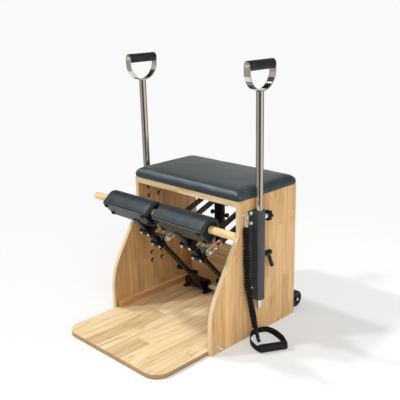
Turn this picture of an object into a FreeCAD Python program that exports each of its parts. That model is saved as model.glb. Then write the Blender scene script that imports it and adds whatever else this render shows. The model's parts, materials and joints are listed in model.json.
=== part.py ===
"""Pilates chair: a wooden box seat with sprung pedals, sliding handles, transport wheels and a strap.

Millimetres, +Z up, front along -Y. The origin is on the floor, under the middle of the object.
"""

import FreeCAD, Part
import math
import os
import re
import Sketcher

from FreeCAD import Placement, Rotation, Vector

doc = FreeCAD.newDocument("PilatesChair")

# Driving dimensions

SIZES = {
    # cabinet
    "chair_width": 620,
    "panel_thickness": 18,
    "panel_depth": 529,
    "seat_depth": 359,
    "panel_height": 598,
    "knee_height": 185,
    "waist_height": 462,
    "knee_radius": 300,
    "waist_radius": 60,
    "seat_board_thickness": 25,
    "platform_reach": 273,
    "platform_thickness": 19,
    "platform_corner_radius": 65,
    "rear_panel_height": 212,
    "rear_panel_thickness": 18,
    "batten_width": 20,
    "batten_height": 28,
    "batten_setback": 12,
    "cleat_width": 20,
    # seat pad
    "pad_thickness": 42,
    "pad_crown": 8,
    "pad_overhang": 8,
    "pad_corner_radius": 18,
    "pad_tuck": 4,
    "pad_shoulder": 9,
    "pad_slope_width": 70,
    # handle sockets
    "socket_setback": 268,
    "socket_width": 42,
    "socket_depth": 39,
    "socket_height": 379,
    "socket_foot": 172,
    "socket_corner_radius": 14,
    "flange_width": 84,
    "flange_thickness": 5,
    "socket_bolt_diameter": 8,
    "socket_bolt_inset": 12,
    "socket_bolt_low": 10,
    "socket_bolt_pitch": 41,
    "bolt_head_height": 5,
    "bolt_head_excess": 3,
    "washer_diameter": 20,
    "washer_thickness": 2,
    # handles
    "tube_diameter": 30,
    "tube_wall": 2.5,
    "tube_foot": 134,
    "tube_length": 878,
    "slide_clearance": 0.3,
    "yoke_radius": 75,
    "yoke_leg": 20,
    "yoke_width": 30,
    "yoke_thickness": 4,
    "grip_diameter": 38,
    "grip_bolt_diameter": 8,
    # plunger and clamp lever
    "plunger_height": 517,
    "lever_height": 357,
    "stem_diameter": 8,
    "running_clearance": 0.05,
    "collar_diameter": 20,
    "collar_length": 22,
    "knob_diameter": 44,
    "knob_thickness": 18,
    "knob_lobe_diameter": 13,
    "knob_valley": 4.33,
    "lever_hub_diameter": 22,
    "lever_hub_length": 26,
    "lever_gap": 0.3,
    "lever_length": 66,
    "lever_root_diameter": 13,
    "lever_tip_diameter": 17,
    "lever_lean": 22,
    # pedal hinge
    "axle_setback": 125,
    "axle_height": 51,
    "axle_diameter": 25,
    "axle_half_length": 236,
    "sleeve_diameter": 60,
    "sleeve_inner": 108,
    "sleeve_outer": 214,
    "block_width": 20,
    "block_gap": 1,
    "block_diameter": 36,
    "block_foot_depth": 66,
    "block_foot_height": 9,
    "block_screw_diameter": 6,
    "block_screw_spread": 26,
    "screw_depth": 12,
    "screw_head_height": 3.5,
    # pedals
    "pedal_tilt": 40.6,
    "arm_offset": 125,
    "arm_diameter": 24,
    "arm_wall": 2.5,
    "arm_drop": 11,
    "arm_length": 544,
    "arm_end_gap": 18,
    "bumper_station": 152,
    "bumper_diameter": 12,
    "bumper_span": 116,
    "bumper_knob_diameter": 24,
    "bumper_knob_length": 14,
    "clamp_length": 30,
    "clamp_setback": 200,
    "clamp_pitch": 92,
    "clamp_width": 56,
    "clamp_floor": 8,
    "clamp_rise": 9,
    "clamp_slot": 5,
    "clamp_bolt_diameter": 6,
    "clamp_bolt_edge": 6,
    "bracket_width": 30,
    "bracket_thickness": 6,
    "bracket_tail": 5,
    "bracket_lap": 16,
    "plate_thickness": 4,
    "plate_edge": 8,
    "plate_bolt_edge": 14,
    "plate_bolt_diameter": 6,
    "plate_hole_diameter": 7,
    "pedal_inner": 30,
    "pedal_outer": 292,
    "pedal_width": 92,
    "pedal_height": 90,
    "foam_thickness": 18,
    "foam_end_round": 4,
    "foam_end_length": 22,
    "dowel_rise": 41,
    "dowel_diameter": 30,
    "dowel_length": 832,
    "dowel_clearance": 0.4,
    # springs
    "post_width": 50,
    "post_thickness": 20,
    "peg_height": 491,
    "peg_pitch": 57,
    "peg_neck_diameter": 8,
    "peg_head_diameter": 22,
    "peg_head_thickness": 8,
    "peg_neck_length": 18,
    "spring_offset": 35,
    "spring_neck": 14,
    "pin_rise": 8,
    "pin_head_diameter": 17,
    "pin_head_thickness": 5,
    "eye_diameter": 18,
    "eye_thickness": 5,
    "eye_clearance": 0.3,
    "shank_diameter": 7,
    "cap_diameter": 26,
    "cap_thickness": 6,
    "cap_station": 22,
    "coil_diameter": 25,
    "coil_wire": 5,
    "ferrule_diameter": 14,
    "ferrule_length": 16,
    "hook_width": 29,
    "hook_thickness": 5,
    "hook_slack": 6,
    "hook_length": 66.8,
    # wheels
    "wheel_reach": 51,
    "wheel_height": 42,
    "wheel_diameter": 75,
    "wheel_width": 25,
    "wheel_inset": 20,
    "wheel_axle_diameter": 10,
    "wheel_gap": 0.5,
    "tread_round": 5,
    "hub_dish": 3,
    "hub_dish_diameter": 44,
    "wheel_plate_thickness": 4,
    "wheel_plate_width": 62,
    "wheel_plate_height": 56,
    "wheel_plate_trim": 5,
    "wheel_cheek_width": 30,
    # strap and studs
    "eye_setback": 331,
    "strap_eye_height": 540,
    "strap_eye_standoff": 12.5,
    "strap_eye_radius": 8,
    "strap_eye_wire": 4,
    "strap_eye_shank": 3.2,
    "strap_eye_flange": 16,
    "clip_width": 16,
    "clip_thickness": 4,
    "clip_bar": 3,
    "clip_length": 44,
    "cord_diameter": 26,
    "tag_diameter": 16,
    "tag_length": 56,
    "webbing_width": 25,
    "webbing_thickness": 2.5,
    "stirrup_grip_diameter": 34,
    "floor_gap": 0.5,
    "stud_diameter": 8,
    "stud_reach": 40,
    "stud_shank_diameter": 6,
    "stud_height": 40,
    "stud_setback": 24,
    # how far every cut runs past the piece it cuts
    "overrun": 5,
    # and for the pillow blocks, which stand closer together than that
    "bore_overrun": 0.5,
}

# Places worked out from the driving dimensions

LAYOUT = {
    "object_depth": "platform_reach + panel_depth + wheel_reach + wheel_diameter / 2",
    "front": "-object_depth / 2",
    "panel_front": "front + platform_reach",
    "rear": "panel_front + panel_depth",
    "seat_front": "rear - seat_depth",
    "panel_out": "chair_width / 2",
    "panel_in": "chair_width / 2 - panel_thickness",
    "seat_underside": "panel_height - seat_board_thickness",
    "rear_panel_top": "platform_thickness + rear_panel_height",
    "rear_panel_front": "rear - rear_panel_thickness",
    "socket_y": "rear - socket_setback",
    "socket_face": "panel_out + flange_thickness",
    "tube_x": "socket_face + socket_depth / 2",
    "socket_top": "socket_foot + socket_height",
    "socket_rear": "socket_y + socket_width / 2",
    "tube_top": "tube_foot + tube_length",
    "yoke_level": "tube_top + yoke_radius",
    "grip_height": "yoke_level + yoke_leg",
    "yoke_inner": "yoke_radius - yoke_thickness",
    "axle_y": "rear - axle_setback",
    "arm_low": "-arm_drop - arm_diameter / 2",
    "bracket_low": "arm_low - bracket_thickness",
    "clamp_low": "bracket_low - clamp_floor",
    "clamp_high": "pin_rise + clamp_rise",
    "plate_top": "arm_low + plate_thickness",
    "arch_radius": "pedal_width / 2",
    "arch_rise": "plate_top + pedal_height - arch_radius",
    "core_radius": "arch_radius - foam_thickness",
    "pedal_station": "arm_length + arm_end_gap - plate_edge + arch_radius",
    "clamp_station": "pedal_station - clamp_setback",
    "bracket_start": "clamp_station - clamp_length / 2 - bracket_tail",
    "pin_station": "clamp_station",
    "pedal_low": "pedal_station - arch_radius",
    "pedal_high": "pedal_station + arch_radius",
    "plate_low": "pedal_low + plate_edge",
    "plate_high": "pedal_high - plate_edge / 2",
    "dowel_level": "plate_top + dowel_rise",
    "peg_y": "rear - post_thickness / 2",
    "pin_y": "axle_y + pin_rise * cos(pedal_tilt) - pin_station * sin(pedal_tilt)",
    "pin_z": "axle_height + pin_rise * sin(pedal_tilt) + pin_station * cos(pedal_tilt)",
    "spring_run": "peg_y - pin_y",
    "spring_rise": "peg_height - pin_z",
    "spring_length": "sqrt(spring_run * spring_run + spring_rise * spring_rise)",
    "spring_slope": "atan(spring_rise / spring_run)",
    "coil_start": "cap_station + cap_thickness",
    "hook_tip": "spring_length + peg_neck_diameter / 2 + hook_slack + hook_thickness",
    "hook_start": "hook_tip - hook_length",
    "coil_end": "hook_start - ferrule_length - cap_thickness",
    "wheel_y": "rear + wheel_reach",
    "wheel_out": "panel_out - wheel_inset",
    "wheel_in": "wheel_out - wheel_width",
    "cheek_x": "wheel_in - wheel_gap",
    "strap_eye_y": "rear - eye_setback",
    "strap_eye_x": "panel_out + strap_eye_standoff",
    "clip_top": "strap_eye_height - strap_eye_radius + strap_eye_wire / 2 + eye_clearance + clip_bar",
    "clip_foot": "clip_top - clip_length",
    "stud_y": "panel_front + stud_setback",
}


def linked(formula):
    """Write a formula's names as references to the sheets' cells."""

    def cell(match):
        name = match.group(0)
        if name in SIZES:
            return "Sizes." + name
        if name in LAYOUT:
            return "Layout." + name
        return name

    return re.sub(r"[a-z_]+", cell, str(formula))


def make_sheets():
    sizes = doc.addObject("Spreadsheet::Sheet", "Sizes")
    for row, (name, value) in enumerate(SIZES.items(), start=1):
        sizes.set(f"A{row}", name)
        sizes.set(f"B{row}", str(value))
        sizes.setAlias(f"B{row}", name)
    layout = doc.addObject("Spreadsheet::Sheet", "Layout")
    for row, name in enumerate(LAYOUT, start=1):
        layout.set(f"A{row}", name)
        layout.setAlias(f"B{row}", name)
    doc.recompute()
    for row, formula in enumerate(LAYOUT.values(), start=1):
        layout.set(f"B{row}", "=" + linked(formula))
    doc.recompute()
    return sizes, layout


sizes_sheet, layout_sheet = make_sheets()
parts = []


def value(name):
    sheet = sizes_sheet if name in SIZES else layout_sheet
    return float(sheet.get(name))


# Building blocks

TURN_ALONG = {
    "x": Rotation(Vector(0, 1, 0), 90),
    "y": Rotation(Vector(1, 0, 0), -90),
    "z": Rotation(),
}
SIDES = (("left", -1), ("right", 1))
# The side whose panel has a stud
STUD_SIDE = "right"


def new_body(name):
    body = doc.addObject("PartDesign::Body", name)
    body.Label = name
    body.AllowCompound = True
    parts.append(body)
    return body


def link_base(item, base):
    for axis, formula in zip("xyz", base):
        item.setExpression("Placement.Base." + axis, linked(formula))


def add_feature(body, kind, cut, turn, base, **lengths):
    family = "Subtractive" if cut else "Additive"
    item = body.newObject(f"PartDesign::{family}{kind}", f"{body.Name}_{kind.lower()}")
    for name, formula in lengths.items():
        item.setExpression(name, linked(formula))
    item.Placement = Placement(Vector(), turn)
    link_base(item, base)
    return item


def block(body, x, y, z, cut=False):
    """A box between two formulas along each axis."""
    spans = [f"({high}) - ({low})" for low, high in (x, y, z)]
    base = [low for low, high in (x, y, z)]
    return add_feature(body, "Box", cut, Rotation(), base, Length=spans[0], Width=spans[1], Height=spans[2])


def rod(body, along, base, radius, length, cut=False):
    """A cylinder that starts at base and runs along one axis."""
    return add_feature(body, "Cylinder", cut, TURN_ALONG[along], base, Radius=radius, Height=length)


def across(sign, low, high):
    """A span along X on one side of the middle, from low to high away from it."""
    if sign > 0:
        return low, high
    return f"-({high})", f"-({low})"


def rod_out(body, sign, low, high, y, z, radius, cut=False):
    """A cylinder along X on one side of the middle."""
    start, end = across(sign, low, high)
    return rod(body, "x", (start, y, z), radius, f"({end}) - ({start})", cut)


def plane_of(body, role):
    return next(item for item in body.Origin.OriginFeatures if item.Role == role)


def pad_outline(body, role, points, length):
    """Pad a polygon whose corners are formulas in the plane of the sketch."""
    sketch = body.newObject("Sketcher::SketchObject", body.Name + "_outline")
    sketch.AttachmentSupport = (plane_of(body, role), [""])
    sketch.MapMode = "FlatFace"
    count = len(points)
    start = [(math.cos(2 * math.pi * i / count), math.sin(2 * math.pi * i / count)) for i in range(count)]
    for i in range(count):
        here = Vector(*start[i], 0)
        there = Vector(*start[(i + 1) % count], 0)
        sketch.addGeometry(Part.LineSegment(here, there))
    for i in range(count):
        sketch.addConstraint(Sketcher.Constraint("Coincident", i, 2, (i + 1) % count, 1))
    for i, (across_formula, up_formula) in enumerate(points):
        for kind, formula, spot in (("DistanceX", across_formula, 0), ("DistanceY", up_formula, 1)):
            index = sketch.addConstraint(Sketcher.Constraint(kind, -1, 1, i, 1, start[i][spot]))
            sketch.setExpression(f"Constraints[{index}]", linked(formula))
    doc.recompute()
    pad = body.newObject("PartDesign::Pad", body.Name + "_pad")
    pad.Profile = sketch
    pad.setExpression("Length", linked(length))
    doc.recompute()
    return pad


def fillet_edges(body, base, radius, chosen):
    """Round the edges of a feature that a test picks out."""
    doc.recompute()
    names = [f"Edge{i}" for i, edge in enumerate(base.Shape.Edges, start=1) if chosen(edge)]
    fillet = body.newObject("PartDesign::Fillet", body.Name + "_fillet")
    fillet.Base = (base, names)
    fillet.setExpression("Radius", linked(radius))
    doc.recompute()
    return fillet


DIRECTION_TOLERANCE = 1e-6
PLACE_TOLERANCE = 1e-3


def runs_along(edge, direction):
    if not isinstance(edge.Curve, Part.Line):
        return False
    return abs(abs(edge.Curve.Direction.dot(direction)) - 1) < DIRECTION_TOLERANCE


def near(first, second):
    return abs(first - second) < PLACE_TOLERANCE


def place(body, x="0", y="0", z="0", angle="0"):
    body.Placement = Placement(Vector(), Rotation(Vector(1, 0, 0), 1))
    link_base(body, (x, y, z))
    body.setExpression("Placement.Rotation.Angle", linked(angle))


def in_pedal(body):
    """Stand a pedal piece, modelled along +Z from the axle, at the pedal's tilt."""
    place(body, y="axle_y", z="axle_height", angle="pedal_tilt")


def in_spring(body):
    """Lay a spring piece, modelled along -Y from the rear peg, on the spring's slope."""
    place(body, y="peg_y", z="peg_height", angle="spring_slope")


def feature_solid(name, shape, placement=None):
    item = doc.addObject("Part::Feature", name)
    item.Label = name
    item.Shape = shape
    if placement:
        item.Placement = placement
    parts.append(item)
    return item


# Cabinet


def side_panels():
    for side, sign in SIDES:
        body = new_body(f"{side}_side_panel")
        outline = (
            ("panel_front", "0"),
            ("rear", "0"),
            ("rear", "panel_height"),
            ("seat_front", "panel_height"),
            ("seat_front", "waist_height"),
            ("panel_front", "knee_height"),
        )
        pad = pad_outline(body, "YZ_Plane", outline, "panel_thickness")
        level = value("knee_height")
        knee = fillet_edges(
            body, pad, "knee_radius",
            lambda edge: runs_along(edge, Vector(1, 0, 0)) and near(edge.CenterOfMass.z, level))
        waist_level = value("waist_height")
        fillet_edges(
            body, knee, "waist_radius",
            lambda edge: runs_along(edge, Vector(1, 0, 0)) and near(edge.CenterOfMass.z, waist_level))
        for y, z in socket_bolt_places():
            rod(body, "x", ("-overrun", y, z), "socket_bolt_diameter / 2", "panel_thickness + 2 * overrun",
                True)
        through = "panel_thickness + 2 * overrun"
        rod(body, "x", ("-overrun", "strap_eye_y", "strap_eye_height"), "strap_eye_shank / 2", through, True)
        if side == STUD_SIDE:
            rod(body, "x", ("-overrun", "stud_y", "stud_height"), "stud_shank_diameter / 2", through, True)
        place(body, x="panel_in" if sign > 0 else "-panel_out")


def socket_bolt_places():
    places = []
    for edge in (-1, 1):
        y = f"socket_y + {edge} * (flange_width / 2 - socket_bolt_inset)"
        for step in (0, 1):
            places.append((y, f"socket_foot + socket_bolt_low + {step} * socket_bolt_pitch"))
            places.append((y, f"socket_top - socket_bolt_low - {step} * socket_bolt_pitch"))
    return places


def base_platform():
    body = new_body("base_platform")
    corners = (("-panel_in", "front"), ("panel_in", "front"), ("panel_in", "rear"), ("-panel_in", "rear"))
    pad = pad_outline(body, "XY_Plane", corners, "platform_thickness")
    front = value("front")
    fillet_edges(
        body, pad, "platform_corner_radius",
        lambda edge: runs_along(edge, Vector(0, 0, 1)) and near(edge.CenterOfMass.y, front))
    for x, y in block_screw_places():
        rod(body, "z", (x, y, "platform_thickness - screw_depth"), "block_screw_diameter / 2",
            "screw_depth + overrun", True)


def rear_panel():
    body = new_body("rear_panel")
    block(body, ("-panel_in", "panel_in"), ("rear_panel_front", "rear"),
          ("platform_thickness", "rear_panel_top"))
    for sign in (-1, 1):
        for x, z in wheel_screw_places(sign):
            rod(body, "y", (x, "rear - screw_depth", z), "block_screw_diameter / 2",
                "screw_depth + overrun", True)


def seat_board():
    body = new_body("seat_board")
    block(body, ("-panel_in", "panel_in"), ("seat_front", "rear"), ("seat_underside", "panel_height"))


def floor_battens():
    body = new_body("floor_battens")
    for side, sign in SIDES:
        x = across(sign, "panel_in - batten_width", "panel_in")
        start = "panel_front + batten_setback"
        block(body, x, (f"{start} + batten_width / 2", "rear_panel_front - cleat_width"),
              ("platform_thickness", "platform_thickness + batten_height"))
        rod(body, "z", (f"{sign} * (panel_in - batten_width / 2)", f"{start} + batten_width / 2",
                        "platform_thickness"), "batten_width / 2", "batten_height")
        if side == STUD_SIDE:
            rod_out(body, sign, "panel_in - batten_width - overrun", "panel_in + overrun", "stud_y",
                    "stud_height", "stud_shank_diameter / 2", True)


def corner_cleats():
    body = new_body("corner_cleats")
    for side, sign in SIDES:
        x = across(sign, "panel_in - cleat_width", "panel_in")
        block(body, x, ("rear_panel_front - cleat_width", "rear_panel_front"),
              ("platform_thickness", "rear_panel_top"))


def rounded_rectangle(half_x, low_y, high_y, radius, z):
    """A closed wire of four straight sides and four quarter arcs."""
    lean = radius * (1 - math.sqrt(0.5))
    edges = []
    x_low, x_high = -half_x, half_x
    corner = (
        ((x_high, low_y + radius), (x_high, high_y - radius), (x_high - lean, high_y - lean)),
        ((x_high - radius, high_y), (x_low + radius, high_y), (x_low + lean, high_y - lean)),
        ((x_low, high_y - radius), (x_low, low_y + radius), (x_low + lean, low_y + lean)),
        ((x_low + radius, low_y), (x_high - radius, low_y), (x_high - lean, low_y + lean)),
    )
    for index, (start, end, middle) in enumerate(corner):
        following = corner[(index + 1) % len(corner)][0]
        points = [Vector(*spot, z) for spot in (start, end, middle, following)]
        edges.append(Part.LineSegment(points[0], points[1]).toShape())
        edges.append(Part.Arc(points[1], points[2], points[3]).toShape())
    return Part.Wire(edges)


def seat_pad():
    """A cushion drawn in at its foot and shoulder, with a crown over the middle."""
    thickness, tuck, shoulder = value("pad_thickness"), value("pad_tuck"), value("pad_shoulder")
    overhang, slope = value("pad_overhang"), value("pad_slope_width")
    foot, crown = value("panel_height"), value("pad_crown")
    height_shares = (0, 0.3, 0.7, 1)
    sections = list(zip([share * thickness for share in height_shares], (tuck, 0, 0, shoulder)))
    crown_shares = (0.55, 0.9, 1)
    for step, share in enumerate(crown_shares, start=1):
        sections.append((thickness + share * crown, shoulder + step * slope * share / 2))
    wires = []
    for height, inset in sections:
        wires.append(rounded_rectangle(
            value("panel_out") + overhang - inset, value("seat_front") - overhang + inset,
            value("rear") + overhang - inset, value("pad_corner_radius"), foot + height))
    feature_solid("seat_pad", Part.makeLoft(wires, True, True))


# Handles


def handle_sockets():
    for side, sign in SIDES:
        body = new_body(f"{side}_handle_socket")
        x = across(sign, "panel_out", "socket_face")
        block(body, x, ("socket_y - flange_width / 2", "socket_y + flange_width / 2"),
              ("socket_foot", "socket_top"))
        x = across(sign, "socket_face", "socket_face + socket_depth")
        tube = block(body, x, ("socket_y - socket_width / 2", "socket_y + socket_width / 2"),
                     ("socket_foot", "socket_top"))
        outer = sign * (value("socket_face") + value("socket_depth"))
        fillet_edges(body, tube, "socket_corner_radius",
                     lambda edge: runs_along(edge, Vector(0, 0, 1)) and near(edge.CenterOfMass.x, outer))
        rod(body, "z", (f"{sign} * tube_x", "socket_y", "socket_foot - overrun"),
            "tube_diameter / 2 + slide_clearance", "socket_height + 2 * overrun", True)
        for height in ("plunger_height", "lever_height"):
            rod(body, "y", (f"{sign} * tube_x", "socket_y", height), "stem_diameter / 2 + running_clearance",
                "socket_width", True)
        for y, z in socket_bolt_places():
            rod_out(body, sign, "panel_out - overrun", "socket_face + overrun", y, z,
                    "socket_bolt_diameter / 2", True)


def socket_bolts(body):
    """Bolts through the flanges and panels, with washers and nuts inside."""
    for side, sign in SIDES:
        for y, z in socket_bolt_places():
            head = "socket_bolt_diameter / 2 + bolt_head_excess"
            rod_out(body, sign, "panel_in - washer_thickness", "socket_face", y, z,
                    "socket_bolt_diameter / 2")
            rod_out(body, sign, "socket_face", "socket_face + bolt_head_height", y, z, head)
            rod_out(body, sign, "panel_in - washer_thickness", "panel_in", y, z, "washer_diameter / 2")
            rod_out(body, sign, "panel_in - washer_thickness - bolt_head_height",
                    "panel_in - washer_thickness", y, z, head)


def frame_fasteners():
    body = new_body("frame_fasteners")
    socket_bolts(body)
    frame_screws(body)


def socket_collars():
    body = new_body("socket_collars")
    for side, sign in SIDES:
        for height in ("plunger_height", "lever_height"):
            rod(body, "y", (f"{sign} * tube_x", "socket_rear", height), "collar_diameter / 2",
                "collar_length")
            rod(body, "y", (f"{sign} * tube_x", "socket_rear - overrun", height),
                "stem_diameter / 2 + running_clearance", "collar_length + 2 * overrun", True)


def handles():
    for side, sign in SIDES:
        x = f"{sign} * tube_x"
        tube = new_body(f"{side}_handle_tube")
        rod(tube, "z", (x, "socket_y", "tube_foot"), "tube_diameter / 2", "tube_length")
        rod(tube, "z", (x, "socket_y", "tube_foot - overrun"), "tube_diameter / 2 - tube_wall",
            "tube_length + 2 * overrun", True)
        handle_yoke(side, x)
        handle_grip(side, x)


def handle_yoke(side, x):
    yoke = new_body(f"{side}_handle_yoke")
    low_x = f"{x} - yoke_width / 2"
    high_x = f"{x} + yoke_width / 2"
    rod(yoke, "x", (low_x, "socket_y", "yoke_level"), "yoke_radius", "yoke_width")
    rod(yoke, "x", (f"{low_x} - overrun", "socket_y", "yoke_level"), "yoke_inner",
        "yoke_width + 2 * overrun", True)
    block(yoke, (f"{low_x} - overrun", f"{high_x} + overrun"),
          ("socket_y - yoke_radius - overrun", "socket_y + yoke_radius + overrun"),
          ("yoke_level", "yoke_level + yoke_radius + overrun"), True)
    for low_y in ("socket_y - yoke_radius", "socket_y + yoke_inner"):
        block(yoke, (low_x, high_x), (low_y, f"{low_y} + yoke_thickness"), ("yoke_level", "grip_height"))
        rod(yoke, "y", (x, low_y, "grip_height"), "yoke_width / 2", "yoke_thickness")
    rod(yoke, "y", (x, "socket_y - yoke_radius - overrun", "grip_height"), "grip_bolt_diameter / 2",
        "2 * yoke_radius + 2 * overrun", True)


def handle_grip(side, x):
    grip = new_body(f"{side}_handle_grip")
    rod(grip, "y", (x, "socket_y - yoke_inner", "grip_height"), "grip_diameter / 2", "2 * yoke_inner")
    bolt_foot = (x, "socket_y - yoke_radius", "grip_height")
    rod(grip, "y", bolt_foot, "grip_bolt_diameter / 2", "2 * yoke_radius", True)
    bolt = new_body(f"{side}_grip_bolt")
    rod(bolt, "y", bolt_foot, "grip_bolt_diameter / 2", "2 * yoke_radius")
    head = "grip_bolt_diameter / 2 + bolt_head_excess"
    rod(bolt, "y", (x, "socket_y - yoke_radius - bolt_head_height", "grip_height"), head,
        "bolt_head_height")
    rod(bolt, "y", (x, "socket_y + yoke_radius", "grip_height"), head, "bolt_head_height")


def plungers():
    lobe_count = 6
    for side, sign in SIDES:
        body = new_body(f"{side}_plunger")
        x = f"{sign} * tube_x"
        stem_start = "socket_y + tube_diameter / 2 + 2 * slide_clearance"
        knob_start = "socket_rear + collar_length + lever_gap"
        rod(body, "y", (x, stem_start, "plunger_height"), "stem_diameter / 2",
            f"{knob_start} - ({stem_start})")
        rod(body, "y", (x, knob_start, "plunger_height"), "knob_diameter / 2 - knob_valley", "knob_thickness")
        ring = "(knob_diameter - knob_lobe_diameter) / 2"
        for lobe in range(lobe_count):
            turn = 360 * lobe / lobe_count
            spot = (f"{x} + {ring} * cos({turn})", knob_start, f"plunger_height + {ring} * sin({turn})")
            rod(body, "y", spot, "knob_lobe_diameter / 2", "knob_thickness")


def clamp_levers():
    for side, sign in SIDES:
        body = new_body(f"{side}_clamp_lever")
        x = f"{sign} * tube_x"
        stem_start = "socket_y + tube_diameter / 2 + 2 * slide_clearance"
        hub_start = "socket_rear + collar_length + lever_gap"
        rod(body, "y", (x, stem_start, "lever_height"), "stem_diameter / 2",
            f"{hub_start} - ({stem_start})")
        rod(body, "y", (x, hub_start, "lever_height"), "lever_hub_diameter / 2", "lever_hub_length")
        lean = Rotation(Vector(1, 0, 0), 180 + value("lever_lean"))
        root = (x, f"{hub_start} + lever_hub_length / 2", "lever_height")
        add_feature(body, "Cone", False, lean, root, Radius1="lever_root_diameter / 2",
                    Radius2="lever_tip_diameter / 2", Height="lever_length")
        tip = (x, f"{hub_start} + lever_hub_length / 2 + lever_length * sin(lever_lean)",
               "lever_height - lever_length * cos(lever_lean)")
        add_feature(body, "Sphere", False, Rotation(), tip, Radius="lever_tip_diameter / 2")


# Pedal hinge


def block_spans(sign):
    """Where the two pillow blocks beside one hinge sleeve start and end along X."""
    inner = across(sign, "sleeve_inner - block_gap - block_width", "sleeve_inner - block_gap")
    outer = across(sign, "sleeve_outer + block_gap", "sleeve_outer + block_gap + block_width")
    return inner, outer


def block_screw_places():
    places = []
    for side, sign in SIDES:
        for low, high in block_spans(sign):
            for step in (-1, 1):
                places.append((f"(({low}) + ({high})) / 2", f"axle_y + {step} * block_screw_spread"))
    return places


def axle():
    body = new_body("hinge_axle")
    rod(body, "x", ("-axle_half_length", "axle_y", "axle_height"), "axle_diameter / 2",
        "2 * axle_half_length")


def axle_blocks():
    body = new_body("axle_blocks")
    foot = "platform_thickness"
    for side, sign in SIDES:
        for low, high in block_spans(sign):
            block(body, (low, high), ("axle_y - block_foot_depth / 2", "axle_y + block_foot_depth / 2"),
                  (foot, f"{foot} + block_foot_height"))
            block(body, (low, high), ("axle_y - block_diameter / 2", "axle_y + block_diameter / 2"),
                  (foot, "axle_height"))
            rod(body, "x", (low, "axle_y", "axle_height"), "block_diameter / 2", f"({high}) - ({low})")
            rod(body, "x", (f"({low}) - bore_overrun", "axle_y", "axle_height"), "axle_diameter / 2",
                "block_width + 2 * bore_overrun", True)
    for x, y in block_screw_places():
        rod(body, "z", (x, y, f"{foot} - overrun"), "block_screw_diameter / 2",
            "block_foot_height + 2 * overrun", True)


def frame_screws(body):
    """Screws of the pillow blocks, down into the platform, and of the wheel plates, into the rear panel."""
    head = "block_screw_diameter / 2 + bolt_head_excess"
    for x, y in block_screw_places():
        seat = "platform_thickness + block_foot_height"
        rod(body, "z", (x, y, "platform_thickness - screw_depth"), "block_screw_diameter / 2",
            "screw_depth + block_foot_height")
        rod(body, "z", (x, y, seat), head, "screw_head_height")
    for side, sign in SIDES:
        for x, z in wheel_screw_places(sign):
            rod(body, "y", (x, "rear - screw_depth", z), "block_screw_diameter / 2",
                "screw_depth + wheel_plate_thickness")
            rod(body, "y", (x, "rear + wheel_plate_thickness", z), head, "screw_head_height")


# Pedals, modelled along +Z from the axle and then tilted


def pedals():
    for side, sign in SIDES:
        pedal_arm(side, sign)
        bumper_bar(side, sign)
        spring_clamps(side, sign)
        pedal_bolts(side, sign)
        pedal_plate(side, sign)
        pedal_core(side, sign)
        pedal_pad(side, sign)


def pedal_arm(side, sign):
    body = new_body(f"{side}_pedal_arm")
    x = f"{sign} * arm_offset"
    rod(body, "z", (x, "-arm_drop", "0"), "arm_diameter / 2", "arm_length")
    rod_out(body, sign, "sleeve_inner", "sleeve_outer", "0", "0", "sleeve_diameter / 2")
    rod(body, "z", (x, "-arm_drop", "sleeve_diameter / 2"), "arm_diameter / 2 - arm_wall", "arm_length",
        True)
    rod_out(body, sign, "sleeve_inner - overrun", "sleeve_outer + overrun", "0", "0",
            "axle_diameter / 2 + running_clearance", True)
    rod_out(body, sign, "arm_offset - arm_diameter", "arm_offset + arm_diameter", "-arm_drop",
            "bumper_station", "bumper_diameter / 2", True)
    in_pedal(body)


def bumper_bar(side, sign):
    body = new_body(f"{side}_bumper_bar")
    spot = ("-arm_drop", "bumper_station")
    rod_out(body, sign, "arm_offset - bumper_span / 2", "arm_offset + bumper_span / 2", *spot,
            "bumper_diameter / 2")
    for start in ("arm_offset - bumper_span / 2", "arm_offset + bumper_span / 2 - bumper_knob_length"):
        rod_out(body, sign, start, f"{start} + bumper_knob_length", *spot, "bumper_knob_diameter / 2")
    in_pedal(body)


def clamp_spans():
    """Where each clamp starts and ends along the arm, the lower one first."""
    spans = []
    for step in (0, 1):
        middle = f"clamp_station + {step} * clamp_pitch"
        spans.append((f"{middle} - clamp_length / 2", f"{middle} + clamp_length / 2"))
    return spans


def clamp_bolt_places(sign):
    places = []
    for low, high in clamp_spans():
        for edge in (-1, 1):
            x = f"{sign} * arm_offset + {edge} * (clamp_width / 2 - clamp_bolt_edge)"
            places.append((x, f"(({low}) + ({high})) / 2"))
    return places


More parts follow.
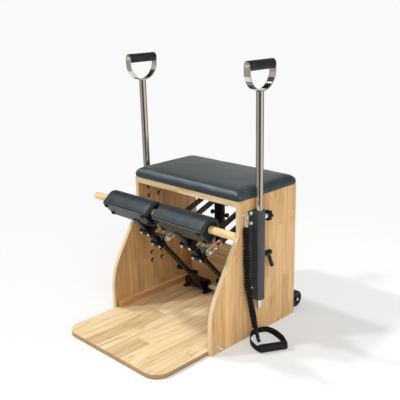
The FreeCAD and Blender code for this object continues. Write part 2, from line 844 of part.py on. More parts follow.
def spring_clamps(side, sign):
    """Two blocks that clamp the arm and the bracket; the lower one carries the spring pins."""
    body = new_body(f"{side}_spring_clamps")
    x = f"{sign} * arm_offset"
    for low, high in clamp_spans():
        block(body, (f"{x} - clamp_width / 2", f"{x} + clamp_width / 2"), ("clamp_low", "clamp_high"),
              (low, high))
        rod(body, "z", (x, "-arm_drop", f"{low} - overrun"), "arm_diameter / 2",
            "clamp_length + 2 * overrun", True)
        block(body, (f"{x} - bracket_width / 2", f"{x} + bracket_width / 2"), ("bracket_low", "arm_low"),
              (f"{low} - overrun", f"{high} + overrun"), True)
        block(body, (f"{x} - clamp_slot / 2", f"{x} + clamp_slot / 2"),
              ("arm_low - overrun", "arm_low + overrun"),
              (f"{low} - overrun", f"{high} + overrun"), True)
    for bolt_x, station in clamp_bolt_places(sign):
        rod(body, "y", (bolt_x, "clamp_low - overrun", station), "clamp_bolt_diameter / 2",
            "clamp_high - clamp_low + 2 * overrun", True)
    for edge in (-1, 1):
        start, end = across(edge, "clamp_width / 2", "clamp_width / 2 + spring_neck")
        head_start, head_end = across(edge, "clamp_width / 2 + spring_neck",
                                      "clamp_width / 2 + spring_neck + pin_head_thickness")
        rod(body, "x", (f"{x} + ({start})", "pin_rise", "pin_station"), "peg_neck_diameter / 2",
            f"({end}) - ({start})")
        rod(body, "x", (f"{x} + ({head_start})", "pin_rise", "pin_station"), "pin_head_diameter / 2",
            f"({head_end}) - ({head_start})")
    in_pedal(body)


def pedal_bolts(side, sign):
    """The bolts of the clamps and of the plate."""
    body = new_body(f"{side}_pedal_bolts")
    for x, station in clamp_bolt_places(sign):
        rod(body, "y", (x, "clamp_low", station), "clamp_bolt_diameter / 2", "clamp_high - clamp_low")
        head = "clamp_bolt_diameter / 2 + bolt_head_excess"
        rod(body, "y", (x, "clamp_low - bolt_head_height", station), head, "bolt_head_height")
    for x, station in plate_bolt_places(sign):
        rod(body, "y", (x, "arm_low", station), "plate_bolt_diameter / 2", "plate_thickness")
        head = "plate_bolt_diameter / 2 + bolt_head_excess"
        rod(body, "y", (x, "arm_low - bolt_head_height", station), head, "bolt_head_height")
    in_pedal(body)


def plate_bolt_places(sign):
    places = []
    for x in ("pedal_inner + plate_bolt_edge", "pedal_outer - plate_bolt_edge"):
        places.append((f"{sign} * ({x})", "plate_high - plate_bolt_edge"))
        places.append((f"{sign} * ({x})", "plate_low + plate_bolt_edge"))
    return places


def pedal_plate(side, sign):
    """The steel plate under the pedal, with the flat bar welded to it that the clamps hold."""
    body = new_body(f"{side}_pedal_plate")
    x = f"{sign} * arm_offset"
    block(body, (f"{x} - bracket_width / 2", f"{x} + bracket_width / 2"), ("bracket_low", "arm_low"),
          ("bracket_start", "plate_low + bracket_lap"))
    block(body, across(sign, "pedal_inner", "pedal_outer"), ("arm_low", "plate_top"),
          ("plate_low", "plate_high"))
    hole_shares = (0.25, 0.42, 0.75)
    for share in hole_shares:
        x = f"{sign} * (pedal_inner + {share} * (pedal_outer - pedal_inner))"
        rod(body, "y", (x, "arm_low - overrun", "plate_high - plate_bolt_edge"), "plate_hole_diameter / 2",
            "plate_thickness + 2 * overrun", True)
    for x, station in plate_bolt_places(sign):
        rod(body, "y", (x, "arm_low - overrun", station), "plate_bolt_diameter / 2",
            "plate_thickness + 2 * overrun", True)
    in_pedal(body)


def pedal_core(side, sign):
    """The arched inner block that the plate carries and the dowel runs through."""
    body = new_body(f"{side}_pedal_core")
    x = across(sign, "pedal_inner", "pedal_outer")
    block(body, x, ("plate_top", "arch_rise"),
          ("pedal_station - core_radius", "pedal_station + core_radius"))
    rod_out(body, sign, "pedal_inner", "pedal_outer", "arch_rise", "pedal_station", "core_radius")
    block(body, (f"({x[0]}) - overrun", f"({x[1]}) + overrun"), ("plate_top - core_radius", "plate_top"),
          ("pedal_low", "pedal_high"), True)
    rod_out(body, sign, "pedal_inner - overrun", "pedal_outer + overrun", "dowel_level", "pedal_station",
            "dowel_diameter / 2 + dowel_clearance", True)
    in_pedal(body)


def arch_wire(x, low, rise, station, radius):
    """A closed arch across X: a flat foot, two straight sides and a round top."""
    lean = radius * math.sqrt(0.5)
    left, right = station - radius, station + radius
    corners = [Vector(x, *spot) for spot in ((rise, left), (low, left), (low, right), (rise, right))]
    top = Vector(x, rise + radius, station)
    lines = [Part.LineSegment(corners[i], corners[i + 1]).toShape() for i in range(len(corners) - 1)]
    arcs = [
        Part.Arc(corners[3], Vector(x, rise + lean, station + lean), top).toShape(),
        Part.Arc(top, Vector(x, rise + lean, station - lean), corners[0]).toShape(),
    ]
    return Part.Wire(lines + arcs)


def pedal_pad(side, sign):
    """Foam over the arched core, drawn in at both ends."""
    low, rise, station = value("plate_top"), value("arch_rise"), value("pedal_station")
    inner, outer = value("pedal_inner"), value("pedal_outer")
    full, drawn, run = value("arch_radius"), value("foam_end_round"), value("foam_end_length")
    sections = ((inner, drawn), (inner + run, 0), (outer - run, 0), (outer, drawn))
    wires = [arch_wire(sign * x, low, rise, station, full - inset) for x, inset in sections]
    foam = Part.makeLoft(wires, True, True)
    ends = [arch_wire(sign * x, low, rise, station, value("core_radius")) for x in (inner, outer)]
    hollow = Part.makeLoft(ends, True, True)
    tilt = Rotation(Vector(1, 0, 0), value("pedal_tilt"))
    feature_solid(f"{side}_pedal_pad", foam.cut(hollow),
                  Placement(Vector(0, value("axle_y"), value("axle_height")), tilt))


def pedal_dowel():
    body = new_body("pedal_dowel")
    rod(body, "x", ("-dowel_length / 2", "dowel_level", "pedal_station"), "dowel_diameter / 2",
        "dowel_length")
    in_pedal(body)


# Springs, modelled along -Y from the rear peg and then sloped


def spring_posts():
    """Two posts with mushroom pegs welded on both sides."""
    body = new_body("spring_posts")
    peg_count = 3
    for side, sign in SIDES:
        x = f"{sign} * arm_offset"
        block(body, (f"{x} - post_width / 2", f"{x} + post_width / 2"), ("rear - post_thickness", "rear"),
              ("rear_panel_top", "seat_underside"))
        for edge in (-1, 1):
            neck = across(edge, "post_width / 2", "post_width / 2 + peg_neck_length")
            head = across(edge, "post_width / 2 + peg_neck_length",
                          "post_width / 2 + peg_neck_length + peg_head_thickness")
            for step in range(peg_count):
                z = f"peg_height - {step} * peg_pitch"
                for (low, high), diameter in ((neck, "peg_neck_diameter"), (head, "peg_head_diameter")):
                    rod(body, "x", (f"{sign} * arm_offset + ({low})", "peg_y", z), f"{diameter} / 2",
                        f"({high}) - ({low})")


def spring_places(sign):
    return [f"{sign} * arm_offset + {edge} * spring_offset" for edge in (-1, 1)]


def spring_ends():
    for side, sign in SIDES:
        eyes = new_body(f"{side}_spring_eyes")
        hooks = new_body(f"{side}_spring_hooks")
        ferrules = new_body(f"{side}_spring_ferrules")
        for x in spring_places(sign):
            spring_eye(eyes, x)
            spring_hook(hooks, x)
            rod(ferrules, "y", (x, "-hook_start", "0"), "ferrule_diameter / 2", "ferrule_length")
            rod(ferrules, "y", (x, "-hook_start - overrun", "0"), "shank_diameter / 2",
                "ferrule_length + 2 * overrun", True)
        for body in (eyes, hooks, ferrules):
            in_spring(body)


def spring_eye(body, x):
    rod(body, "x", (f"{x} - eye_thickness / 2", "0", "0"), "eye_diameter / 2", "eye_thickness")
    rod(body, "y", (x, "-cap_station", "0"), "shank_diameter / 2", "cap_station")
    rod(body, "y", (x, "-coil_start", "0"), "cap_diameter / 2", "cap_thickness")
    rod(body, "x", (f"{x} - eye_diameter", "0", "0"), "peg_neck_diameter / 2 + eye_clearance",
        "2 * eye_diameter", True)


def spring_hook(body, x):
    """End cap, shank and the long loop that goes over the spring pin."""
    half = "hook_width / 2"
    faces = (f"{x} - hook_thickness / 2", f"{x} + hook_thickness / 2")
    wide = (f"{x} - hook_thickness", f"{x} + hook_thickness")
    rod(body, "y", (x, "-coil_end - cap_thickness", "0"), "cap_diameter / 2", "cap_thickness")
    rod(body, "y", (x, "-hook_start - hook_thickness / 2", "0"), "shank_diameter / 2",
        "hook_start - coil_end + hook_thickness / 2")
    ends = (f"-hook_tip + {half}", f"-hook_start - {half}")
    block(body, faces, ends, (f"-{half}", half))
    for y in ends:
        rod(body, "x", (faces[0], y, "0"), half, "hook_thickness")
    block(body, wide, ends, (f"-{half} + hook_thickness", f"{half} - hook_thickness"), True)
    for y in ends:
        rod(body, "x", (wide[0], y, "0"), f"{half} - hook_thickness", "2 * hook_thickness", True)


def biarc(start, start_way, end, end_way):
    """Two arcs that join two points with given directions there."""
    gap = end - start
    both = start_way + end_way
    spread = 2 * (1 - start_way.dot(end_way))
    along = gap.dot(both)
    reach = (math.sqrt(along * along + spread * gap.dot(gap)) - along) / spread
    middle = (start + end + (start_way - end_way) * reach) * 0.5
    return [arc_from(start, start_way, middle), arc_from(end, end_way * -1, middle)]


def arc_from(start, way, end):
    chord = end - start
    unit = Vector(chord).normalize()
    bow = (way - unit * way.dot(unit)).normalize()
    half_turn = math.acos(max(-1, min(1, way.dot(unit))))
    crest = (start + end) * 0.5 + bow * (chord.Length / 2 * math.tan(half_turn / 2))
    return Part.Arc(start, crest, end).toShape()


COIL_TURNS = 24
# The angle over which the wire turns from a cap into the helix, in radians
LEAD_TURN = 0.75


def coil_path():
    """A helix along -Y in quarter turns, with a straight end of one wire diameter at each cap."""
    wire, radius = value("coil_wire"), (value("coil_diameter") - value("coil_wire")) / 2
    start, end = value("coil_start"), value("coil_end")
    lead = wire + radius
    climb = end - start - 2 * lead
    quarters = 4 * COIL_TURNS
    rise = climb / quarters

    def point(quarter):
        turn = math.pi / 2 * quarter
        return Vector(radius * math.cos(turn), -(start + lead + rise * quarter), radius * math.sin(turn))

    def way(quarter):
        turn = math.pi / 2 * quarter
        steep = rise / (math.pi / 2)
        return Vector(-radius * math.sin(turn), -steep, radius * math.cos(turn)).normalize()

    axis = Vector(0, -1, 0)
    first = Vector(radius * math.cos(-LEAD_TURN), -(start + wire), radius * math.sin(-LEAD_TURN))
    last_turn = math.pi / 2 * quarters + LEAD_TURN
    last = Vector(radius * math.cos(last_turn), -(end - wire), radius * math.sin(last_turn))
    edges = [Part.LineSegment(first - axis * wire, first).toShape()]
    edges += biarc(first, axis, point(0), way(0))
    for quarter in range(quarters):
        edges += biarc(point(quarter), way(quarter), point(quarter + 1), way(quarter + 1))
    edges += biarc(point(quarters), way(quarters), last, axis)
    edges.append(Part.LineSegment(last, last + axis * wire).toShape())
    return Part.Wire(Part.__sortEdges__(edges))


def least_gap(path, wire):
    """The least gap between a tube's turns, measured on points along its path."""
    points = path.discretize(Distance=wire / 2)
    # points nearer along the wire than three wires are the same turn; those past twenty-four are far off
    nearest, furthest = 6, 48
    least = min(
        (points[i] - points[j]).Length
        for i in range(len(points))
        for j in range(i + nearest, min(len(points), i + furthest)))
    return least - wire


def tube_along(path, start, way, diameter):
    section = Part.Wire(Part.makeCircle(diameter / 2, start, way))
    pipe = Part.BRepOffsetAPI.MakePipeShell(path)
    pipe.add(section)
    pipe.build()
    pipe.makeSolid()
    return pipe.shape()


def report_tube(name, path, tube, diameter):
    wanted = math.pi * diameter * diameter / 4 * path.Length
    print(f"{name}: tube volume over section times length {tube.Volume / wanted:.4f}")


def spring_coils():
    path = coil_path()
    wire = value("coil_wire")
    print(f"spring coil: least gap to itself {least_gap(path, wire):.2f} mm")
    start = path.OrderedVertexes[0].Point
    tube = tube_along(path, start, Vector(0, -1, 0), wire)
    report_tube("spring coil", path, tube, wire)
    slope = Rotation(Vector(1, 0, 0), value("spring_slope"))
    for side, sign in SIDES:
        copies = []
        for edge in (-1, 1):
            copy = tube.copy()
            copy.translate(Vector(sign * value("arm_offset") + edge * value("spring_offset"), 0, 0))
            copies.append(copy)
        feature_solid(f"{side}_spring_coils", Part.makeCompound(copies),
                      Placement(Vector(0, value("peg_y"), value("peg_height")), slope))


# Wheels


def wheel_screw_places(sign):
    places = []
    for step in (-1, 1):
        x = f"{sign} * (cheek_x - wheel_plate_width / 2)"
        places.append((x, f"wheel_height + {step} * wheel_plate_height / 4"))
    return places


def wheel_brackets():
    body = new_body("wheel_brackets")
    for side, sign in SIDES:
        x = across(sign, "cheek_x - wheel_plate_width", "cheek_x")
        plate_low = "wheel_height - wheel_plate_height / 2 + wheel_plate_trim"
        block(body, x, ("rear", "rear + wheel_plate_thickness"),
              (plate_low, "wheel_height + wheel_plate_height / 2"))
        cheek = across(sign, "cheek_x - wheel_plate_thickness", "cheek_x")
        block(body, cheek, ("rear", "wheel_y"),
              ("wheel_height - wheel_cheek_width / 2", "wheel_height + wheel_cheek_width / 2"))
        rod_out(body, sign, "cheek_x - wheel_plate_thickness", "cheek_x", "wheel_y", "wheel_height",
                "wheel_cheek_width / 2")
        rod_out(body, sign, "cheek_x - wheel_plate_thickness", "wheel_out + wheel_gap", "wheel_y",
                "wheel_height", "wheel_axle_diameter / 2")
        rod_out(body, sign, "wheel_out + wheel_gap", "wheel_out + wheel_gap + bolt_head_height", "wheel_y",
                "wheel_height", "wheel_axle_diameter / 2 + bolt_head_excess")
        for screw_x, z in wheel_screw_places(sign):
            rod(body, "y", (screw_x, "rear - overrun", z), "block_screw_diameter / 2",
                "wheel_plate_thickness + 2 * overrun", True)


def wheels():
    for side, sign in SIDES:
        body = new_body(f"{side}_wheel")
        tyre = rod_out(body, sign, "wheel_in", "wheel_out", "wheel_y", "wheel_height", "wheel_diameter / 2")
        fillet_edges(body, tyre, "tread_round", lambda edge: isinstance(edge.Curve, Part.Circle))
        outer_dish = ("wheel_out - hub_dish", "wheel_out + overrun")
        inner_dish = ("wheel_in - overrun", "wheel_in + hub_dish")
        for low, high in (outer_dish, inner_dish):
            rod_out(body, sign, low, high, "wheel_y", "wheel_height", "hub_dish_diameter / 2", True)
        rod_out(body, sign, "wheel_in", "wheel_out", "wheel_y", "wheel_height",
                "wheel_axle_diameter / 2 + bolt_head_excess")
        rod_out(body, sign, "wheel_in - overrun", "wheel_out + overrun", "wheel_y", "wheel_height",
                "wheel_axle_diameter / 2 + running_clearance", True)


# Studs and strap


def panel_stud():
    """A stud on one panel, with a thinner shank through the panel and the batten."""
    body = new_body("panel_stud")
    sign = dict(SIDES)[STUD_SIDE]
    spot = ("stud_y", "stud_height")
    rod_out(body, sign, "panel_in - batten_width", "panel_out", *spot, "stud_shank_diameter / 2")
    rod_out(body, sign, "panel_out", "panel_out + stud_reach", *spot, "stud_diameter / 2")


def strap_eyes():
    body = new_body("strap_eyes")
    for side, sign in SIDES:
        y, z = "strap_eye_y", "strap_eye_height"
        rod_out(body, sign, "panel_in", "strap_eye_x - strap_eye_radius", y, z, "strap_eye_shank / 2")
        rod_out(body, sign, "panel_out", "panel_out + strap_eye_wire / 2", y, z, "strap_eye_flange / 2")
        add_feature(body, "Torus", False, TURN_ALONG["y"], (f"{sign} * strap_eye_x", y, z),
                    Radius1="strap_eye_radius", Radius2="strap_eye_wire / 2")


def strap_clip():
    """A long link that hangs in the right eye and carries the cord."""
    body = new_body("strap_clip")
    half = "clip_width / 2"
    faces = ("strap_eye_x - clip_thickness / 2", "strap_eye_x + clip_thickness / 2")
    wide = ("strap_eye_x - clip_thickness", "strap_eye_x + clip_thickness")
    ends = (f"clip_foot + {half}", f"clip_top - {half}")
    block(body, faces, (f"strap_eye_y - {half}", f"strap_eye_y + {half}"), ends)
    for z in ends:
        rod(body, "x", (faces[0], "strap_eye_y", z), half, "clip_thickness")
    block(body, wide, (f"strap_eye_y - {half} + clip_bar", f"strap_eye_y + {half} - clip_bar"), ends, True)
    for z in ends:
        rod(body, "x", (wide[0], "strap_eye_y", z), f"{half} - clip_bar", "2 * clip_thickness", True)


# The cord's route from the clip to the end tag, in the part's frame
CORD_ROUTE = (
    (323.5, 23.5, 493),
    (324.5, 23.3, 395),
    (326, 24.5, 308),
    (331, 27.5, 220),
    (340, 43, 126),
    (349, 47.5, 57),
)
# The place on the floor that the end tag points to
TAG_REST = (382, 35.5, 9)


# The share of a run that the arc at each of its ends may take
ARC_SHARE = 0.45


def rounded_route(points):
    """Straight runs joined by arcs as large as the runs allow."""
    edges = []
    radii = []
    here = points[0]
    for before, corner, after in zip(points, points[1:], points[2:]):
        back = Vector(before - corner).normalize()
        ahead = Vector(after - corner).normalize()
        turn = math.pi - math.acos(max(-1, min(1, back.dot(ahead))))
        cut = ARC_SHARE * min((before - corner).Length, (after - corner).Length)
        radius = cut / math.tan(turn / 2)
        radii.append(radius)
        start, end = corner + back * cut, corner + ahead * cut
        inward = (back + ahead).normalize()
        crest = corner + inward * (radius / math.cos(turn / 2) - radius)
        edges.append(Part.LineSegment(here, start).toShape())
        edges.append(Part.Arc(start, crest, end).toShape())
        here = end
    edges.append(Part.LineSegment(here, points[-1]).toShape())
    return Part.Wire(edges), radii


def strap_cord():
    points = [Vector(*spot) for spot in CORD_ROUTE]
    path, radii = rounded_route(points)
    print("cord radii", " ".join(f"{radius:.0f}" for radius in radii), f"length {path.Length:.0f} mm")
    tube = tube_along(path, points[0], points[1] - points[0], value("cord_diameter"))
    report_tube("strap cord", path, tube, value("cord_diameter"))
    feature_solid("strap_cord", tube)
    last = Vector(points[-1] - points[-2]).normalize()
    way = Vector(Vector(*TAG_REST) - points[-1]).normalize()
    radius = value("tag_diameter") / 2
    start = points[-1] + way * (radius * way.cross(last).Length / way.dot(last))
    tag = Part.makeCylinder(radius, value("tag_length"), start, way)
    feature_solid("cord_end_tag", tag)


# The stirrup on the floor: the grip's two ends seen from above, and the points that the webbing's middle
# line runs round between them, lifted where it passes behind the end tag
GRIP_ENDS = ((426, -21), (487, 81))
STIRRUP_CORNERS = ((377, -17, 20), (338, 31, 33), (348.7, 61.8, 40), (366, 112, 36), (438, 112, 22))


def stirrup():
    grip_level = value("stirrup_grip_diameter") / 2 + value("floor_gap")
    near_end, far_end = [Vector(*spot, grip_level) for spot in GRIP_ENDS]
    way = Vector(far_end - near_end).normalize()
    length = (far_end - near_end).Length
    feature_solid("stirrup_grip",
                  Part.makeCylinder(value("stirrup_grip_diameter") / 2, length, near_end, way))
    thick, width = value("webbing_thickness"), value("webbing_width")
    near_tab, far_tab = near_end - way * (thick / 2), far_end + way * (thick / 2)
    points = [near_tab, *[Vector(*spot) for spot in STIRRUP_CORNERS], far_tab]
    path, radii = rounded_route(points)
    print("webbing radii", " ".join(f"{radius:.0f}" for radius in radii), f"length {path.Length:.0f} mm")
    first = Vector(points[1] - points[0]).normalize()
    aside = first.cross(Vector(0, 0, 1)) * (thick / 2)
    rise = Vector(0, 0, width / 2)
    ways = (aside + rise, rise - aside, aside * -1 - rise, aside - rise)
    corners = [points[0] + way for way in ways]
    section = Part.makePolygon(corners + corners[:1])
    pipe = Part.BRepOffsetAPI.MakePipeShell(path)
    pipe.setBiNormalMode(Vector(0, 0, 1))
    pipe.add(section)
    pipe.build()
    pipe.makeSolid()
    feature_solid("stirrup_webbing", pipe.shape())


def check_and_export():
    doc.recompute()
    for item in doc.Objects:
        if "Invalid" in item.State or "Error" in item.State:
            raise RuntimeError(f"{item.Label} failed: {item.State}")
    for item in parts:
        if item.Shape.isNull() or not item.Shape.isValid():
            raise RuntimeError(f"{item.Label} has no valid shape")
    os.makedirs("parts", exist_ok=True)
    for item in parts:
        item.Shape.exportStep(f"parts/{item.Label}.step")
    print(len(parts), "parts written")


def main():
    side_panels()
    base_platform()
    rear_panel()
    seat_board()
    floor_battens()
    corner_cleats()
    seat_pad()
    handle_sockets()
    frame_fasteners()
    socket_collars()
    handles()
    plungers()
    clamp_levers()
    axle()
    axle_blocks()
    pedals()
    pedal_dowel()
    spring_posts()
    spring_ends()
    spring_coils()
    wheel_brackets()
    wheels()
    panel_stud()
    strap_eyes()
    strap_clip()
    strap_cord()
    stirrup()
    check_and_export()


main()
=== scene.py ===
"""The looks of a pilates chair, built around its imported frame: camera, stage, materials and soft pieces."""
import json
import math

import bmesh
import bpy
from mathutils import Color, Matrix, Vector, noise


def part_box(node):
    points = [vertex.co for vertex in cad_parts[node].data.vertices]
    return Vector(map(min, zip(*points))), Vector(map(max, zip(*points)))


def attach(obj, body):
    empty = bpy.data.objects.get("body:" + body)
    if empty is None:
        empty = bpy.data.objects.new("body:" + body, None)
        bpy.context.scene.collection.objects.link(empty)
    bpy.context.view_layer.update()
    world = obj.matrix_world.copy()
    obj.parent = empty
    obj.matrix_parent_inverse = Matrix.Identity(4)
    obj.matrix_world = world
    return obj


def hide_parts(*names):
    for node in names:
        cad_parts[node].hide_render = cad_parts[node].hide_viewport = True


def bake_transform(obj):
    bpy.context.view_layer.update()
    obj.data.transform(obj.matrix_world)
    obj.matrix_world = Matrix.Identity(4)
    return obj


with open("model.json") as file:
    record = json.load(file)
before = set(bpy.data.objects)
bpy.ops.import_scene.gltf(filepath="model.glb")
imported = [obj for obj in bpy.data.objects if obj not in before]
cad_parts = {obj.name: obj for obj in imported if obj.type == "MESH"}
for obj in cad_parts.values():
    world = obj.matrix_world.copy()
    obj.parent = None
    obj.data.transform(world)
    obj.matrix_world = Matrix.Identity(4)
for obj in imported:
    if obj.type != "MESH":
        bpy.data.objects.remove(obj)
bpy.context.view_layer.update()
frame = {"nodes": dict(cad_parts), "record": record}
nodes = frame["nodes"]
SIDES = (("left", -1), ("right", 1))
MM = 0.001
SCREEN_WHITE = 255


def mm(*lengths):
    """Lengths in millimetres as a point in metres."""
    return Vector([length * MM for length in lengths])


def paint(red, green, blue):
    """A colour as a screen shows it, from 0 to 255, as linear light."""
    shown = Color([level / SCREEN_WHITE for level in (red, green, blue)])
    return (*shown.from_srgb_to_scene_linear(), 1.0)


# Camera

CAMERA_PLACE = (1.9021, -1.7889, 1.3281)
CAMERA_AZIMUTH = math.radians(45.54)
CAMERA_ELEVATION = math.radians(18.5458)
CAMERA_ROLL = math.radians(-1.4913)
CAMERA_SENSOR, CAMERA_LENS = 36, 58.73
CAMERA_SHIFT = (0.00536, 0.0529)


def make_camera():
    data = bpy.data.cameras.new("camera")
    data.sensor_width = CAMERA_SENSOR
    data.lens = CAMERA_LENS
    data.shift_x, data.shift_y = CAMERA_SHIFT
    camera = bpy.data.objects.new("camera", data)
    turns = ((CAMERA_AZIMUTH, "Z"), (math.pi / 2 - CAMERA_ELEVATION, "X"), (CAMERA_ROLL, "Z"))
    place = Matrix.Translation(CAMERA_PLACE)
    for turn, axis in turns:
        place = place @ Matrix.Rotation(turn, 4, axis)
    camera.matrix_world = place
    bpy.context.scene.collection.objects.link(camera)
    bpy.context.scene.camera = camera


# Materials

WHITE, BLACK = (1, 1, 1, 1), (0, 0, 0, 1)
EDGE_SAMPLES = 4

# The sockets of a mix node that are for colours
MIX_INPUTS, MIX_OUTPUT = (0, 6, 7), 2


class Nodes:
    """A tree of shader nodes, with short ways to add and join them."""

    def __init__(self, tree):
        self.tree = tree

    def add(self, kind, inputs=(), **settings):
        node = self.tree.nodes.new(kind)
        for key, setting in settings.items():
            setattr(node, key, setting)
        for key, given in dict(inputs).items():
            self.join(given, node.inputs[key])
        return node

    def join(self, given, socket):
        if isinstance(given, bpy.types.NodeSocket):
            self.tree.links.new(given, socket)
        else:
            socket.default_value = given

    def math(self, operation, *terms):
        return self.add("ShaderNodeMath", dict(enumerate(terms)), operation=operation).outputs[0]

    def times(self, *factors):
        return self.math("MULTIPLY", *factors)

    def plus(self, part, factor, rest):
        """A part times a factor, plus the rest."""
        return self.math("MULTIPLY_ADD", part, factor, rest)

    def below(self, level, limit):
        """1 where a level is below a limit, and 0 elsewhere."""
        return self.math("LESS_THAN", level, limit)

    def where(self, space="Object"):
        """A point's place on the object at rest in metres, or in another space."""
        return self.add("ShaderNodeTexCoord").outputs[space]

    def split(self, vector):
        """The three sockets of a vector's parts."""
        return list(self.add("ShaderNodeSeparateXYZ", {"Vector": vector}).outputs)

    def vector(self, *parts):
        return self.add("ShaderNodeCombineXYZ", dict(enumerate(parts))).outputs[0]

    def stretched(self, place, scales, offset=0.0):
        """A place scaled by its own factor along each axis, for noise that runs one way."""
        return self.vector(*[self.plus(part, scale, offset) for part, scale in zip(place, scales)])

    def noise(self, vector, scale=1.0, detail=2.0, roughness=0.5):
        inputs = {"Vector": vector, "Scale": scale, "Detail": detail, "Roughness": roughness}
        return self.add("ShaderNodeTexNoise", inputs).outputs[0]

    def chance(self, *parts):
        """A number from 0 to 1 that is the same wherever the parts are the same."""
        inputs = {"Vector": self.vector(*parts)}
        return self.add("ShaderNodeTexWhiteNoise", inputs, noise_dimensions="3D").outputs["Value"]

    def mix(self, factor, first, second, blend="MIX"):
        inputs = dict(zip(MIX_INPUTS, (factor, first, second)))
        return self.add("ShaderNodeMix", inputs, data_type="RGBA", blend_type=blend).outputs[MIX_OUTPUT]

    def ramp(self, factor, stops):
        node = self.add("ShaderNodeValToRGB", {"Fac": factor})
        elements = node.color_ramp.elements
        while len(elements) < len(stops):
            elements.new(1.0)
        for element, (position, colour) in zip(elements, stops):
            element.position = position
            element.color = colour
        return node.outputs["Color"]

    def span(self, factor, low, high):
        """A factor from 0 to 1 as a number from low to high."""
        return self.plus(factor, high - low, low)

    def facing(self, axis):
        """How squarely a face looks along one axis, from 0 to 1."""
        normal = self.add("ShaderNodeNewGeometry").outputs["True Normal"]
        return self.math("ABSOLUTE", self.split(normal)["xyz".index(axis)])

    def layered(self, factor, first, second):
        """The first shader, and the second one over it by a factor."""
        inputs = {0: factor, 1: first.outputs[0], 2: second.outputs[0]}
        return self.add("ShaderNodeMixShader", inputs)


class Shading(Nodes):
    """A material and its nodes."""

    def __init__(self, name):
        self.material = bpy.data.materials.new(name)
        self.material.use_nodes = True
        super().__init__(self.material.node_tree)
        self.shader = self.tree.nodes["Principled BSDF"]

    def bump(self, height, strength, distance, edge=0.0):
        """Small relief, over edges that are broken to a radius where one is given."""
        inputs = {"Height": height, "Strength": strength, "Distance": distance}
        if edge:
            broken = self.add("ShaderNodeBevel", {"Radius": edge}, samples=EDGE_SAMPLES)
            inputs["Normal"] = broken.outputs[0]
        self.join(self.add("ShaderNodeBump", inputs).outputs[0], self.shader.inputs["Normal"])

    def finish(self, **sockets):
        for key, given in sockets.items():
            self.join(given, self.shader.inputs[key.replace("_", " ").title().replace("Ior", "IOR")])
        return self.material


# How often a board's patterns change in a metre along, across and through it
WARP_RATES = (2.2, 9.0, 9.0)
RING_RATES = (1.1, 105.0, 40.0)
SWIRL_RATES = (1.7, 12.0, 12.0)
FIBRE_RATES = (9.0, 420.0, 420.0)
PORE_RATES = (60.0, 1500.0, 1500.0)

RING_WARP = 0.05
FIGURE_LINES, FIGURE_SHARPNESS = 13.0, 0.4
STAVE_SHIFT_SEEDS, STAVE_TONE_SEED, STAVE_SPREAD = (3.7, 1.3), 5.1, 40.0
GRAIN_SHARES = (0.26, 0.46, 0.68)
STREAK_SHARES = ((0.30, (0.78, 0.72, 0.65, 1.0)), (0.56, WHITE))
STAVE_TINT_SHARES = ((0.0, (0.83, 0.76, 0.68, 1.0)), (0.35, (0.97, 0.96, 0.94, 1.0)),
                     (1.0, (1.07, 1.07, 1.07, 1.0)))
STREAK_STRENGTH = 0.85
SEAM_WIDTH, SEAM_STRENGTH = 0.0005, 0.28
FIBRE_RELIEF, BOARD_EDGE, PORE_SHARE = 0.0004, 0.0012, 0.4


def wood(name, along, across, tones, stave, layers, figure):
    """Laminated boards: staves of different tone with grain along one axis, and glue lines on the edges."""
    shade = Shading(name)
    place = dict(zip("xyz", shade.split(shade.where())))
    through = next(axis for axis in "xyz" if axis not in (along, across))
    run, side, deep = place[along], place[across], place[through]
    here = (run, side, deep)
    width, length = stave
    row = shade.math("FLOOR", shade.math("DIVIDE", side, width))
    shift = shade.chance(row, *STAVE_SHIFT_SEEDS)
    station = shade.plus(run, 1 / length, shift)
    tone = shade.chance(row, shade.math("FLOOR", station), STAVE_TONE_SEED)
    seed = shade.times(tone, STAVE_SPREAD)
    warp = shade.noise(shade.stretched(here, WARP_RATES, seed))
    bent = shade.plus(warp, RING_WARP, side)
    rings = shade.noise(shade.stretched((run, bent, deep), RING_RATES, seed), detail=3.0, roughness=0.6)
    swirl = shade.noise(shade.stretched(here, SWIRL_RATES, seed), detail=1.0)
    waves = shade.math("PINGPONG", shade.times(swirl, FIGURE_LINES), 1.0)
    arcs = shade.math("POWER", waves, FIGURE_SHARPNESS)
    rings = shade.plus(arcs, figure, shade.times(rings, 1 - figure))
    fibre = shade.noise(shade.stretched(here, FIBRE_RATES, seed), detail=3.0)
    pores = shade.noise(shade.stretched(here, PORE_RATES, seed))
    light, middle, dark = tones
    grain = shade.ramp(rings, tuple(zip(GRAIN_SHARES, (dark, middle, light))))
    colour = shade.mix(STREAK_STRENGTH, grain, shade.ramp(fibre, STREAK_SHARES), "MULTIPLY")
    colour = shade.mix(1.0, colour, shade.ramp(tone, STAVE_TINT_SHARES), "MULTIPLY")
    seam = shade.below(shade.math("PINGPONG", side, width), SEAM_WIDTH)
    end = shade.math("PINGPONG", shade.times(station, length), length)
    gap = shade.math("MAXIMUM", seam, shade.below(end, SEAM_WIDTH))
    colour = shade.mix(shade.times(gap, SEAM_STRENGTH), colour, dark)
    if layers:
        colour = layered_edges_and_side_shade(shade, place, colour, layers, fibre)
    relief = shade.plus(pores, PORE_SHARE, fibre)
    shade.bump(relief, strength=0.12, distance=FIBRE_RELIEF, edge=BOARD_EDGE)
    return shade.finish(base_color=colour, roughness=shade.span(fibre, low=0.42, high=0.56),
                        specular_ior_level=0.4, coat_weight=0.12, coat_roughness=0.3)


LAYER_SEEDS = (2.2, 8.8)
LAYER_LINE, LAYER_LINE_STRENGTH = 0.0007, 0.75
LAYER_FIBRE_STRENGTH = 0.3
EDGE_FACING = 0.5


